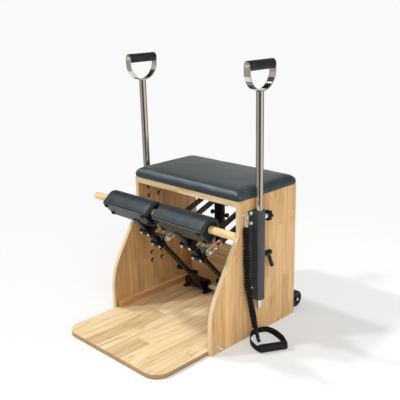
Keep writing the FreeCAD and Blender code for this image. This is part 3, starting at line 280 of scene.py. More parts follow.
def layered_edges_and_side_shade(shade, place, colour, layers, fibre):
    """On faces that look along neither side of the board, its glued layers show as lines; on the battens
    these tones are painted shade on their upright faces.
    """
    axis, pitch, tones = layers
    light, middle, line_tone = tones
    edge = shade.below(shade.facing(axis), EDGE_FACING)
    level = shade.math("ABSOLUTE", place[axis])
    layer = shade.math("FLOOR", shade.math("DIVIDE", level, pitch))
    plain = shade.mix(shade.chance(layer, *LAYER_SEEDS), light, middle)
    plain = shade.mix(shade.times(fibre, LAYER_FIBRE_STRENGTH), plain, line_tone)
    line = shade.below(shade.math("PINGPONG", level, pitch / 2), LAYER_LINE)
    plain = shade.mix(shade.times(line, LAYER_LINE_STRENGTH), plain, line_tone)
    return shade.mix(edge, colour, plain)


LEATHER_TINT = (0.86, 0.96, 1.0, 1.0)
BLOTCH_SHARES = ((0.35, BLACK), (0.7, WHITE))
# Painted shade in the gaps between the leather's pebbles, and how strongly it darkens them
PEBBLE_GAP_SHADE, PEBBLE_SHADE_STRENGTH = paint(12, 13, 15), 0.35
PEBBLE_RATE, WRINKLE_RATE, WRINKLE_SHARE = 620.0, 130.0, 0.8
LEATHER_RELIEF = 0.0006
LEATHER_SHEEN_SHARE = 0.125


def leather(name, colour, worn, shine, patch):
    """Upholstery leather: small pebbles with painted shade in the gaps between them, soft blotches and a low
    sheen.
    """
    shade = Shading(name)
    where = shade.where()
    pebbles = shade.add("ShaderNodeTexVoronoi", {"Vector": where, "Scale": PEBBLE_RATE}).outputs["Distance"]
    wrinkles = shade.noise(where, WRINKLE_RATE, detail=4.0, roughness=0.6)
    blotches = shade.noise(where, 1 / patch, detail=3.0)
    tone = shade.mix(shade.ramp(blotches, BLOTCH_SHARES), colour, worn)
    # Painted shade: darker towards the gaps between pebbles
    tone = shade.mix(shade.times(pebbles, PEBBLE_SHADE_STRENGTH), tone, PEBBLE_GAP_SHADE)
    relief = shade.plus(wrinkles, WRINKLE_SHARE, pebbles)
    shade.bump(relief, strength=0.22, distance=LEATHER_RELIEF)
    return shade.finish(base_color=tone, roughness=shade.span(blotches, low=0.40, high=0.48),
                        specular_ior_level=shine, specular_tint=LEATHER_TINT,
                        sheen_weight=shine * LEATHER_SHEEN_SHARE, sheen_roughness=0.4)


POLISH_RELIEF, METAL_EDGE = 0.0002, 0.0006
LENGTHWISE_RATES = (900.0, 900.0, 6.0)
EVEN_RATES = (400.0, 400.0, 400.0)
CAST_RATES = (500.0, 500.0, 500.0)


def steel(name, colour, roughness, rates, metallic):
    """Bright metal with fine polishing lines, along one axis or even."""
    shade = Shading(name)
    lines = shade.noise(shade.stretched(shade.split(shade.where()), rates))
    shade.bump(lines, strength=0.02, distance=POLISH_RELIEF, edge=METAL_EDGE)
    return shade.finish(base_color=colour, metallic=metallic, roughness=shade.span(lines, *roughness))


# Black for black parts, and also painted shade on the frame's fasteners inside the box
BRIGHT_METAL, BLACK_AND_SHADE = paint(236, 235, 232), paint(15, 15, 16)
BRIGHT_METALLIC, BLACKENED_METALLIC = 0.25, 0.10
BRIGHT_ROUGHNESS, BLACKENED_ROUGHNESS, LINE_GAIN = 0.14, 0.34, 0.12


def two_tone(name, choose):
    """Bright metal with black faces where the chooser says so; on the frame's fasteners inside the box this
    black is painted shade.
    """
    shade = Shading(name)
    place = shade.split(shade.where())
    # For the frame's fasteners this mask is painted shade
    blackened_and_shaded = choose(shade, place)
    lines = shade.noise(shade.stretched(place, CAST_RATES))
    shade.bump(lines, strength=0.03, distance=POLISH_RELIEF, edge=METAL_EDGE)
    metal = shade.span(blackened_and_shaded, BRIGHT_METALLIC, BLACKENED_METALLIC)
    rough = shade.span(blackened_and_shaded, BRIGHT_ROUGHNESS, BLACKENED_ROUGHNESS)
    rough = shade.plus(lines, LINE_GAIN, rough)
    return shade.finish(base_color=shade.mix(blackened_and_shaded, BRIGHT_METAL, BLACK_AND_SHADE), metallic=metal,
                        roughness=rough, specular_ior_level=0.25)


PANEL_IN = 0.292
WASHER_DEPTH = 0.003
# Painted shade on the inner fasteners: where a face counts as a rim, and how dark their faces are made
RIM_FACING, SHADED_FACE_SHARE = 0.7, 0.6
PLATE_STATION = 0.55
PIN_START = 0.0305
COLLAR_SPLIT = 0.42
WHEEL_AXLE_Y, WHEEL_AXLE_Z, WHEEL_AXLE_RADIUS = 0.40775, 0.042, 0.0065


def shaded_inner_fasteners(shade, place):
    """Painted shade on the fasteners of the panels' inner faces: full on washers' rims and nuts' sides, less
    on their faces.
    """
    aside = shade.math("ABSOLUTE", place[0])
    inside = shade.below(aside, PANEL_IN)
    washer = shade.math("GREATER_THAN", aside, PANEL_IN - WASHER_DEPTH)
    rim = shade.below(shade.facing("x"), RIM_FACING)
    dark = shade.math("MAXIMUM", shade.math("MAXIMUM", washer, rim), SHADED_FACE_SHARE)
    return shade.times(inside, dark)


def under_plate(shade, place):
    """The bolts beyond the clamps, which hold the pedal's plate."""
    back = shade.times(shade.math("SUBTRACT", place[1], AXLE_PLACE.y), -math.sin(PEDAL_TILT))
    rise = shade.math("SUBTRACT", place[2], AXLE_PLACE.z)
    station = shade.plus(rise, math.cos(PEDAL_TILT), back)
    return shade.math("GREATER_THAN", station, PLATE_STATION)


def off_pins(shade, place):
    """A clamp's body between the pins that the springs hook on."""
    aside = shade.math("SUBTRACT", shade.math("ABSOLUTE", place[0]), ARM_OFFSET)
    return shade.below(shade.math("ABSOLUTE", aside), PIN_START)


def low_collars(shade, place):
    """The collars of the clamp levers, below those of the plungers."""
    return shade.below(place[2], COLLAR_SPLIT)


def off_axle(shade, place):
    """All of a wheel bracket but the end of its axle."""
    across = shade.math("SUBTRACT", place[1], WHEEL_AXLE_Y)
    up = shade.math("SUBTRACT", place[2], WHEEL_AXLE_Z)
    away = shade.math("SQRT", shade.plus(across, across, shade.times(up, up)))
    return shade.math("GREATER_THAN", away, WHEEL_AXLE_RADIUS)


BROAD_RATE, BROAD_SHADE_SHARE = 24.0, 0.72
COAT_RELIEF, COAT_EDGE = 0.0004, 0.0007


def coated(name, colour, roughness, grain, depth, metallic, shine):
    """Powder coat or moulded plastic: a fine even grain and a little colour variation."""
    shade = Shading(name)
    where = shade.where()
    fine = shade.noise(where, grain, detail=3.0)
    broad = shade.noise(where, BROAD_RATE, detail=3.0)
    shadow = tuple(level * BROAD_SHADE_SHARE for level in colour[:3]) + (1.0,)
    shade.bump(fine, depth, distance=COAT_RELIEF, edge=COAT_EDGE)
    return shade.finish(base_color=shade.mix(broad, shadow, colour), metallic=metallic,
                        roughness=shade.span(fine, *roughness), specular_ior_level=shine)


THREAD_PITCH = 0.0011
FUZZ_RATE, FUZZ_SHARE = 1600.0, 0.5
WEAVE_RELIEF = 0.0006


def woven(name, colour, raised):
    """Woven cloth: threads along and across a piece, whose UV map is in metres."""
    shade = Shading(name)
    ways = shade.split(shade.where("UV"))[:2]
    threads = [shade.math("SINE", shade.times(way, math.tau / THREAD_PITCH)) for way in ways]
    weave = shade.span(shade.times(*threads), low=0.5, high=1.0)
    fuzz = shade.noise(shade.where(), FUZZ_RATE, detail=3.0)
    tone = shade.mix(shade.times(weave, fuzz), colour, raised)
    relief = shade.plus(fuzz, FUZZ_SHARE, weave)
    shade.bump(relief, strength=0.35, distance=WEAVE_RELIEF)
    return shade.finish(base_color=tone, roughness=0.78, specular_ior_level=0.3, sheen_weight=0.04,
                        sheen_roughness=0.5)


PANEL_TONES = (paint(231, 193, 139), paint(217, 174, 119), paint(186, 138, 86))
PLATFORM_TONES = (paint(246, 225, 186), paint(229, 200, 154), paint(190, 148, 101))
# Painted shade: the panels' wood in darker tones for the left panel, whose inner face lies in the box's shade
SHADED_LEFT_PANEL_TONES = (paint(204, 168, 121), paint(187, 147, 100), paint(152, 111, 69))
BATTEN_TONES = (paint(246, 220, 174), paint(232, 198, 148), paint(196, 150, 102))
# Painted shade: darker tones for the battens' upright faces
BATTEN_SHADE_TONES = (paint(206, 154, 100), paint(192, 138, 86), paint(160, 110, 66))
DOWEL_TONES = (paint(244, 214, 162), paint(228, 190, 134), paint(186, 138, 86))
EDGE_TONES = (paint(240, 226, 192), paint(226, 206, 166), paint(164, 130, 88))
BASE_EDGE_TONES = (paint(184, 146, 102), paint(164, 126, 84), paint(120, 88, 56))

# The widths and lengths of staves, and the axis, pitch and tones of glued layers; the battens' entry paints
# shade on their upright faces
PANEL_STAVE = (0.045, 0.42)
PLATFORM_STAVE = (0.078, 0.55)
BATTEN_STAVE = (0.05, 0.5)
REAR_STAVE = (0.06, 0.5)
SEAT_STAVE = (0.5, 0.42)
DOWEL_STAVE = (0.2, 2.0)
PLY = 0.006
PANEL_LAYERS = ("x", PLY, EDGE_TONES)
BASE_LAYERS = ("z", PLY, BASE_EDGE_TONES)
# Painted shade on the battens' upright faces, drawn the way glued layers are
BATTEN_SIDE_SHADE = ("z", 0.05, BATTEN_SHADE_TONES)


# The rows of these tables go by the names of the record's slots, of pieces, or of nodes with their own look

# Boards: the axes along and across their grain, tones, staves, glued layers and share of figure
WOODS = {
    "panel_wood": ("z", "y", PANEL_TONES, PANEL_STAVE, PANEL_LAYERS, 0.16),
    "platform_wood": ("y", "x", PLATFORM_TONES, PLATFORM_STAVE, BASE_LAYERS, 0.26),
    # The battens: their glued-layers entry paints shade on their upright faces
    "batten_wood": ("y", "z", BATTEN_TONES, BATTEN_STAVE, BATTEN_SIDE_SHADE, 0.16),
    "dowel_wood": ("x", "y", DOWEL_TONES, DOWEL_STAVE, None, 0.3),
    # The left panel: painted shade, the panels' wood in darker tones
    "left_side_panel": ("z", "y", SHADED_LEFT_PANEL_TONES, PANEL_STAVE, PANEL_LAYERS, 0.16),
    # The rear panel: painted light, the platform's lighter tones lifting it out of the shade inside the box
    "rear_panel": ("x", "z", PLATFORM_TONES, REAR_STAVE, None, 0.16),
    "seat_board": ("x", "y", PLATFORM_TONES, SEAT_STAVE, None, 0.16),
    "corner_cleats": ("z", "x", BATTEN_TONES, BATTEN_STAVE, None, 0.16),
}

# Leathers: colour, colour where worn, shine and the size of their blotches
LEATHERS = {
    "seat_leather": (paint(40, 51, 56), paint(49, 60, 65), 0.66, 0.05),
    "pedal_leather": (paint(26, 37, 44), paint(42, 53, 60), 0.3, 0.03),
}

# Bright metals: colour, least and most roughness, rates of their polishing lines and share of metal
STEELS = {
    "chrome": (paint(222, 216, 206), (0.05, 0.13), LENGTHWISE_RATES, 1.0),
    "bright_steel": (paint(228, 227, 223), (0.12, 0.22), EVEN_RATES, 0.7),
    "strap_clip": (paint(226, 225, 221), (0.05, 0.12), EVEN_RATES, 1.0),
}

# Coats and plastics: colour, least and most roughness, rate and depth of grain, share of metal and shine
COATS = {
    "grey_profile": (paint(74, 78, 79), (0.38, 0.5), 700.0, 0.06, 0.3, 0.5),
    "black_metal": (BLACK_AND_SHADE, (0.36, 0.5), 900.0, 0.10, 0.0, 0.12),
    "plate_steel": (paint(52, 57, 60), (0.4, 0.52), 600.0, 0.08, 0.3, 0.5),
    "red_ferrule": (paint(170, 30, 34), (0.3, 0.42), 500.0, 0.05, 0.0, 0.5),
    "black_plastic": (paint(18, 19, 20), (0.3, 0.42), 500.0, 0.05, 0.0, 0.36),
    "black_foam": (paint(16, 18, 21), (0.5, 0.66), 1300.0, 0.2, 0.0, 0.25),
    "tag_rubber": (paint(11, 12, 13), (0.3, 0.44), 800.0, 0.12, 0.0, 0.4),
    "spring_steel": (paint(106, 109, 112), (0.1, 0.18), 700.0, 0.03, 1.0, 0.5),
    "hand_grip": (paint(33, 37, 41), (0.44, 0.56), 1300.0, 0.07, 0.0, 0.35),
    "black_bolt": (paint(6, 6, 7), (0.2, 0.28), 700.0, 0.03, 0.0, 0.3),
    "pedal_arm": (paint(17, 17, 18), (0.16, 0.24), 700.0, 0.03, 0.0, 0.4),
    "pedal_core": (paint(13, 14, 15), (0.5, 0.62), 400.0, 0.12, 0.0, 0.2),
}

# Cloth: colour, and colour of the raised threads
CLOTHS = {"cord_fabric": (paint(5, 6, 7), paint(19, 20, 21))}

# Metal with two finishes: what chooses the black faces, which on the frame's fasteners are painted shade
TWO_TONES = {
    "frame_fasteners": (shaded_inner_fasteners,),
    "pedal_bolts": (under_plate,),
    "spring_clamps": (off_pins,),
    "socket_collars": (low_collars,),
    "wheel_brackets": (off_axle,),
}
TABLES = ((wood, WOODS), (leather, LEATHERS), (steel, STEELS), (coated, COATS), (woven, CLOTHS),
          (two_tone, TWO_TONES))


def make_materials():
    return {name: make(name, *row) for make, rows in TABLES for name, row in rows.items()}


def dress_nodes(materials):
    """Give each node the look that its name ends with, or else that of its slot."""
    for entry in frame["record"]["subparts"]:
        own = [name for name in materials if entry["node"].endswith(name)]
        data = nodes[entry["node"]].data
        data.materials.clear()
        data.materials.append(materials[own[0] if own else entry["material_slot"]])


# Making meshes


def make_piece(name, points, faces, material):
    mesh = bpy.data.meshes.new(name)
    mesh.from_pydata(points, [], faces)
    mesh.validate()
    mesh.update()
    piece = bpy.data.objects.new(name, mesh)
    piece.data.materials.append(material)
    bpy.context.scene.collection.objects.link(piece)
    smooth(piece)
    return piece


def smooth(piece):
    piece.data.polygons.foreach_set("use_smooth", [True] * len(piece.data.polygons))
    piece.data.update()


def ring_faces(rings, count):
    """Quads between neighbouring rings of the same number of points."""
    faces = []
    for ring in range(rings - 1):
        for spot in range(count):
            following = (spot + 1) % count
            here, ahead = ring * count, (ring + 1) * count
            faces.append((here + spot, here + following, ahead + following, ahead + spot))
    return faces


def closed_faces(rings, count):
    """Quads between rings of points, and one face over each end."""
    last = (rings - 1) * count
    ends = [tuple(reversed(range(count))), tuple(range(last, last + count))]
    return ring_faces(rings, count) + ends


def moved_on(faces, start):
    """The same faces, for points that come after others in a mesh."""
    return [tuple(start + spot for spot in face) for face in faces]


def quarter_turns(steps):
    """Even turns from none to a quarter, in radians."""
    return [math.pi / 2 * step / steps for step in range(steps + 1)]


def heading(line, index):
    """The direction of a line at one of its points."""
    return (line[min(index + 1, len(line) - 1)] - line[max(index - 1, 0)]).normalized()


def turns_round(sides):
    """Even turns all round, in radians."""
    return [math.tau * step / sides for step in range(sides)]


def ways_about(first, second, sides):
    """Directions all round, from the first towards the second."""
    return [math.cos(turn) * first + math.sin(turn) * second for turn in turns_round(sides)]


def ways_round(line, sides, across):
    """The directions all round a line at each of its points; it never runs along across."""
    for index in range(len(line)):
        ahead = heading(line, index)
        first = across.cross(ahead).normalized()
        yield ways_about(first, ahead.cross(first), sides)


def turned(start, way, profile, sides):
    """Points and faces of a turned form: distances along its axis and radii there, closed at both ends."""
    way = way.normalized()
    aside = way.orthogonal().normalized()
    ways = ways_about(aside, way.cross(aside), sides)
    points = [start + way * along + radius * outward for along, radius in profile for outward in ways]
    return points, closed_faces(len(profile), sides)


def sized(shares, length, radius):
    """A turned form's profile, from shares of its length and of its radius."""
    return [(along * length, wide * radius) for along, wide in shares]


def lathe(name, start, way, profile, material, sides=40):
    return make_piece(name, *turned(start, way, profile, sides), material)


def mesh_outward(piece):
    """Turn all faces outward, so that a closed mesh has an inside."""
    work = bmesh.new()
    work.from_mesh(piece.data)
    bmesh.ops.recalc_face_normals(work, faces=work.faces)
    work.to_mesh(piece.data)
    work.free()
    piece.data.update()


def remeshed(piece, voxel):
    """The piece's surface as an even net of small squares."""
    step = piece.modifiers.new("even", "REMESH")
    step.mode = "VOXEL"
    step.voxel_size = voxel
    graph = bpy.context.evaluated_depsgraph_get()
    even = bpy.data.meshes.new_from_object(piece.evaluated_get(graph))
    even.materials.clear()
    even.materials.append(piece.data.materials[0])
    piece.modifiers.clear()
    piece.data = even
    smooth(piece)


def blown_up(piece, held, pressure, reach):
    """The piece as stuffed cloth: blown up by pressure, held where it is fixed, moved by reach at most."""
    steps = 20
    group = piece.vertex_groups.new(name="held")
    group.add([vertex.index for vertex in piece.data.vertices if held(vertex.co)], 1.0, "REPLACE")
    cloth = piece.modifiers.new("cloth", "CLOTH")
    cloth.settings.vertex_group_mass = "held"
    cloth.settings.use_pressure = True
    cloth.settings.uniform_pressure_force = pressure
    cloth.settings.effector_weights.gravity = 0
    cloth.collision_settings.use_collision = False
    scene = bpy.context.scene
    for step in range(1, steps + 1):
        scene.frame_set(step)
    graph = bpy.context.evaluated_depsgraph_get()
    moved = [vertex.co.copy() for vertex in piece.evaluated_get(graph).data.vertices]
    piece.modifiers.clear()
    scene.frame_set(1)
    for vertex, spot in zip(piece.data.vertices, moved):
        shift = spot - vertex.co
        vertex.co += shift * min(1.0, reach / max(shift.length, reach))
    piece.vertex_groups.clear()


def rippled(piece, pitch, depth, free):
    """Shallow uneven waves in a soft surface, where it is free to move."""
    normals = [vertex.normal.copy() for vertex in piece.data.vertices]
    for vertex, normal in zip(piece.data.vertices, normals):
        if free(vertex.co):
            vertex.co += normal * depth * noise.noise(vertex.co / pitch)
    piece.data.update()


def refined(piece):
    step = piece.modifiers.new("refine", "SUBSURF")
    step.levels = 1
    step.render_levels = 1


# Seat pad

PAD_CORNER = 0.020
PAD_ROUND = 0.030
PAD_BELLY = 0.011
PAD_TUCK = 0.004
PAD_INSET = 0.0018
PAD_CROWN = 0.007
PAD_MIDDLE = 0.165
PAD_CORNER_SHARE = 0.25
PAD_VOXEL, PAD_PRESSURE = 0.005, 4.0
PAD_RIPPLE_PITCH, PAD_RIPPLE_DEPTH = 0.07, 0.0009


def rounded_outline(half_x, low_y, high_y, radius, per_corner=8, per_side=14):
    """Points round a rectangle with round corners."""
    middle_y, half_y = (low_y + high_y) / 2, (high_y - low_y) / 2
    corners = []
    for index, (sign_x, sign_y) in enumerate(((1, -1), (1, 1), (-1, 1), (-1, -1))):
        centre = Vector((sign_x * (half_x - radius), middle_y + sign_y * (half_y - radius)))
        start = math.pi / 2 * (index - 1)
        turns = [start + turn for turn in quarter_turns(per_corner - 1)]
        corners.append([centre + radius * Vector((math.cos(turn), math.sin(turn))) for turn in turns])
    points = []
    for corner, following in zip(corners, corners[1:] + corners[:1]):
        sides = [corner[-1].lerp(following[0], step / per_side) for step in range(1, per_side)]
        points += corner + sides
    return points


def pad_profile(thickness):
    """Inset and height of each ring, from under the pad round its edge to the middle of its top."""
    under_insets = (0.10, 0.03, PAD_TUCK)
    edge_steps, top_steps = 9, 6
    rings = [(inset, 0.0) for inset in under_insets] + [(PAD_TUCK / 4, PAD_BELLY / 2)]
    rise = thickness - PAD_CROWN - PAD_BELLY
    for turn in quarter_turns(edge_steps):
        rings.append((PAD_ROUND * (1 - math.cos(turn)), PAD_BELLY + rise * math.sin(turn)))
    inward = (PAD_MIDDLE - PAD_ROUND) / top_steps
    for step, turn in enumerate(quarter_turns(top_steps)[1:], start=1):
        rings.append((PAD_ROUND + inward * step, thickness - PAD_CROWN * (1 - math.sin(turn))))
    return rings


def make_seat_pad(material):
    low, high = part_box("seat_pad")
    thickness = high.z - low.z - PAD_INSET
    points = []
    rings = pad_profile(thickness)
    for inset, height in rings:
        drawn = inset + PAD_INSET
        radius = PAD_CORNER + inset * PAD_CORNER_SHARE
        outline = rounded_outline(high.x - drawn, low.y + drawn, high.y - drawn, radius)
        points += [Vector((*spot, low.z + height)) for spot in outline]
    faces = closed_faces(len(rings), len(points) // len(rings))
    pad = make_piece("seat_cushion", points, faces, material)
    remeshed(pad, PAD_VOXEL)
    foot = low.z + PAD_VOXEL
    blown_up(pad, lambda spot: spot.z < foot, PAD_PRESSURE, PAD_INSET)
    rippled(pad, PAD_RIPPLE_PITCH, PAD_RIPPLE_DEPTH, lambda spot: spot.z > low.z + thickness / 2)
    refined(pad)
    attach(pad, "frame")
    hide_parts("seat_pad")


# Pedal pads, drawn beside the pedal's arm and then tilted with it

AXLE_PLACE = mm(0, 231.75, 51)
PEDAL_TILT = math.radians(40.6)
PEDAL_INNER, PEDAL_OUTER = 0.016, 0.298
PEDAL_STATION = 0.600
PLATE_TOP = -0.019
ARCH_RISE = 0.025
ARCH_RADIUS = 0.046
CORE_RADIUS = 0.028
PEDAL_PAD_INSET, PEDAL_END_ROUND = 0.0018, 0.008
PEDAL_VOXEL = 0.004
PEDAL_HELD, PEDAL_FOOT = 0.003, 0.005
PEDAL_RIPPLE_PITCH, PEDAL_RIPPLE_DEPTH = 0.05, 0.0006
PEDAL_FRAME = Matrix.Translation(AXLE_PLACE) @ Matrix.Rotation(PEDAL_TILT, 4, "X")


def arch(x, radius):
    """Points of an arch across X, from one foot on the plate over the top to the other."""
    steps = 20
    rises = [PLATE_TOP, PLATE_TOP + (ARCH_RISE - PLATE_TOP) / 2]
    points = [Vector((x, rise, PEDAL_STATION - radius)) for rise in rises]
    for step in range(steps + 1):
        turn = math.pi * step / steps
        rise, back = radius * math.sin(turn), radius * math.cos(turn)
        points.append(Vector((x, ARCH_RISE + rise, PEDAL_STATION - back)))
    return points + [Vector((x, rise, PEDAL_STATION + radius)) for rise in reversed(rises)]


def pad_stations():
    """Places along a pad, round at both ends, and how far its arch is drawn in there."""
    steps, spans = 4, 14
    shares = [(1 - math.cos(turn), 1 - math.sin(turn)) for turn in quarter_turns(steps)]
    ends = [(PEDAL_END_ROUND * along, PEDAL_END_ROUND * drawn) for along, drawn in shares]
    length = PEDAL_OUTER - PEDAL_INNER
    stations = [(PEDAL_INNER + along, drawn) for along, drawn in ends]
    stations += [(PEDAL_INNER + span / spans * length, 0.0) for span in range(1, spans)]
    return stations + [(PEDAL_OUTER - along, drawn) for along, drawn in reversed(ends)]


def held_on_core(spot):
    """Whether a point of a pad lies on the core or on the plate."""
    near = CORE_RADIUS + PEDAL_HELD
    reach = math.hypot(spot.y - ARCH_RISE, spot.z - PEDAL_STATION)
    over_core = spot.y > ARCH_RISE and reach < near
    return over_core or spot.y < PLATE_TOP + PEDAL_FOOT or abs(spot.z - PEDAL_STATION) < near


def make_pedal_pad(side, sign, material):
    stations = pad_stations()
    points = []
    for x, drawn in stations:
        outer = arch(sign * x, ARCH_RADIUS - PEDAL_PAD_INSET - drawn)
        inner = arch(sign * x, CORE_RADIUS)
        points += outer + inner[::-1]
    count = len(points) // len(stations)
    faces = ring_faces(len(stations), count)
    for start, flip in ((0, False), (len(points) - count, True)):
        for spot in range(count // 2 - 1):
            face = (start + spot, start + spot + 1, start + count - 2 - spot, start + count - 1 - spot)
            faces.append(face[::-1] if flip else face)
    pad = make_piece(f"{side}_pedal_cushion", points, faces, material)
    mesh_outward(pad)
    remeshed(pad, PEDAL_VOXEL)
    blown_up(pad, held_on_core, PAD_PRESSURE, PEDAL_PAD_INSET)
    rippled(pad, PEDAL_RIPPLE_PITCH, PEDAL_RIPPLE_DEPTH, lambda spot: not held_on_core(spot))
    pad.data.transform(PEDAL_FRAME)
    refined(pad)
    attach(pad, f"{side}_pedal")
    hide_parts(f"{side}_pedal_pad")


# Springs, close wound between their end caps

PEG_PLACE = mm(0, 346.75, 491)
SPRING_SLOPE = math.radians(19.546)
COIL_START, COIL_END = 0.028, 0.318
COIL_DIAMETER = 0.025
COIL_WIRE = 0.0036
COIL_PITCH_SHARE = 1.02
COIL_STEPS, WIRE_SIDES = 16, 6
ARM_OFFSET, SPRING_OFFSET = 0.125, 0.035


def coil_line(x):
    """A close helix from the rear cap to the front cap."""
    way = Vector((0, -math.cos(SPRING_SLOPE), -math.sin(SPRING_SLOPE)))
    first = Vector((1, 0, 0))
    ways = ways_about(first, way.cross(first), COIL_STEPS)
    base = PEG_PLACE + x * first
    radius = (COIL_DIAMETER - COIL_WIRE) / 2
    start, end = COIL_START + COIL_WIRE / 2, COIL_END - COIL_WIRE / 2
    count = COIL_STEPS * round((end - start) / (COIL_WIRE * COIL_PITCH_SHARE))
    line = []
    for step in range(count + 1):
        along = start + (end - start) * step / count
        line.append(base + way * along + radius * ways[step % COIL_STEPS])
    return line, way


def make_springs(side, sign, material):
    points, faces = [], []
    for edge in (-1, 1):
        line, way = coil_line(sign * ARM_OFFSET + edge * SPRING_OFFSET)
        faces += moved_on(closed_faces(len(line), WIRE_SIDES), len(points))
        for spot, ways in zip(line, ways_round(line, WIRE_SIDES, way)):
            points += [spot + COIL_WIRE / 2 * outward for outward in ways]
    coils = make_piece(f"{side}_close_springs", points, faces, material)
    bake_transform(coils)
    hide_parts(f"{side}_spring_coils")


# Heads of the bolts under the pedal plates

PLATE_UNDER = -0.023
PLATE_BOLT_STATIONS = (0.576, 0.628)
PLATE_BOLT_SIDES = (0.044, 0.278)
BOLT_HEAD_RADIUS, BOLT_HEAD_HEIGHT, BOLT_SIDES = 0.0098, 0.0070, 24

# A button head with a round socket in its top
BOLT_SHARES = ((0.0, 1.0), (0.30, 1.0), (0.38, 0.985), (0.62, 0.91), (0.82, 0.77), (0.95, 0.58),
               (1.0, 0.42), (1.0, 0.38), (0.97, 0.36), (0.82, 0.35))


def make_plate_bolts(side, sign, material):
    """Button heads over the small heads of the bolts under a pedal's plate."""
    profile = sized(BOLT_SHARES, BOLT_HEAD_HEIGHT, BOLT_HEAD_RADIUS)
    points, faces = [], []
    for x in PLATE_BOLT_SIDES:
        for station in PLATE_BOLT_STATIONS:
            start = Vector((sign * x, PLATE_UNDER, station))
            head, skin = turned(start, Vector((0, -1, 0)), profile, BOLT_SIDES)
            faces += moved_on(skin, len(points))
            points += head
    bolts = make_piece(f"{side}_plate_bolt_heads", points, faces, material)
    bolts.data.transform(PEDAL_FRAME)
    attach(bolts, f"{side}_pedal")


# Hand grips, and the profile that the stirrup's grip shares

GRIP_RIM, GRIP_WAIST = 0.0024, 0.0002
GROOVE_AWAY, GROOVE_HALF, GROOVE_DIP = 0.0044, 0.0015, 0.0009
HAND_GRIP_LIP = 0.0016


def grip_profile(length, radius, lip):
    """A foam sleeve with a rounded lip and a shallow groove at each end."""
    groove = lip + GROOVE_AWAY
    round_shares = ((0.0, 1.0), (0.08, 0.62), (0.29, 0.29), (0.62, 0.08), (1.0, 0.0))
    near = [(0.0, radius - lip - GRIP_RIM)]
    near += [(along * lip, radius - drop * lip) for along, drop in round_shares]
    near += [(groove - GROOVE_HALF, radius), (groove, radius - GROOVE_DIP),
             (groove + GROOVE_HALF, radius - GRIP_WAIST)]
    middle_shares = (0.25, 0.5, 0.75)
    middle = [(length * share, radius - GRIP_WAIST) for share in middle_shares]
    return near + middle + [(length - along, wide) for along, wide in reversed(near)]


def make_handle_grip(side, material):
    low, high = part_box(f"{side}_handle_grip")
    centre = (low + high) / 2
    start = Vector((centre.x, low.y, centre.z))
    profile = grip_profile(high.y - low.y, (high.z - low.z) / 2, HAND_GRIP_LIP)
    grip = lathe(f"{side}_foam_grip", start, Vector((0, 1, 0)), profile, material)
    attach(grip, f"{side}_handle")
    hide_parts(f"{side}_handle_grip")


# Strap: a ruched sleeve from the clip to its end tag, and a stirrup of webbing on the floor

# The points and the grip's level are in millimetres, and the other lengths in metres
CORD_ROUTE = ((323.5, 23.5, 493), (324.5, 23.3, 395), (326, 24.5, 308), (331, 27.5, 220),
              (340, 43, 126), (349, 47.5, 57))
CORD_DIAMETER = 0.026
SLEEVE_STEP, SLEEVE_SIDES, SLEEVE_ACROSS = 0.0012, 28, Vector((0, 1, 0.2))
ROUTE_STEPS = 24
NARROW_SHARE, NARROW_LOSS = 0.55, 0.08
NECK_SHARE, NECK_LENGTH = 0.75, 0.06
GATHER_PITCH, GATHER_DEPTH, GATHER_LOSS, GATHER_DRAW = 0.0122, 0.0058, 0.0004, 0.0035
GATHER_DRIFT, DRIFT_PITCH = 0.9, 0.03
GATHER_LEAN, LEAN_PITCH = 0.4, 0.02
FOLD_SHARE, SWELL_SHARE, SWELL_PITCH, SWELL_SEEDS = 0.8, 0.3, 0.045, (7.3, 1.1)
TAG_REST = (382, 35.5, 9)
TAG_LENGTH, TAG_RADIUS, TAG_SIDES = 0.056, 0.008, 28
GRIP_ENDS = ((426, -21), (487, 81))
GRIP_LEVEL = 17.5
GRIP_RADIUS = 0.017
GRIP_LIP = 0.007
STIRRUP_CORNERS = ((377, -17, 20), (338, 31, 33), (348.7, 61.8, 40), (366, 112, 36), (438, 112, 22))
WEBBING_WIDTH, WEBBING_THICKNESS = 0.025, 0.0025
WEBBING_STEP, WEBBING_LIP = 0.002, 0.0006


def smooth_line(name, route):
    """Points along the smooth spline that a route's points control."""
    curve = bpy.data.curves.new(name, "CURVE")
    curve.dimensions = "3D"
    curve.resolution_u = ROUTE_STEPS
    spline = curve.splines.new("NURBS")
    spline.points.add(len(route) - 1)
    for point, spot in zip(spline.points, route):
        point.co = (*spot, 1.0)
    spline.order_u = 3
    spline.use_endpoint_u = True
    holder = bpy.data.objects.new(name, curve)
    bpy.context.scene.collection.objects.link(holder)
    graph = bpy.context.evaluated_depsgraph_get()
    graph.update()
    mesh = bpy.data.meshes.new_from_object(holder.evaluated_get(graph))
    line = [vertex.co.copy() for vertex in mesh.vertices]
    bpy.data.objects.remove(holder)
    bpy.data.meshes.remove(mesh)
    return line


def line_length(line):
    return sum((ahead - here).length for here, ahead in zip(line, line[1:]))


def even_line(line, step):
    """The same line with points an even step apart."""
    length = line_length(line)
    spacing = length / max(2, round(length / step))
    even = [line[0]]
    here, index, left = line[0], 1, spacing
    while index < len(line):
        gap = (line[index] - here).length
        if gap >= left:
            here = here.lerp(line[index], left / gap)
            even.append(here)
            left = spacing
        else:
            left -= gap
            here = line[index]
            index += 1
    if (even[-1] - line[-1]).length > spacing / 2:
        even.append(line[-1])
    return even


def set_uv(piece, count, step, width):
    """A map of metres along and across a swept piece."""
    layer = piece.data.uv_layers.new(name="along")
    for loop in piece.data.loops:
        ring, spot = divmod(loop.vertex_index, count)
        layer.data[loop.index].uv = (ring * step, spot * width / count)


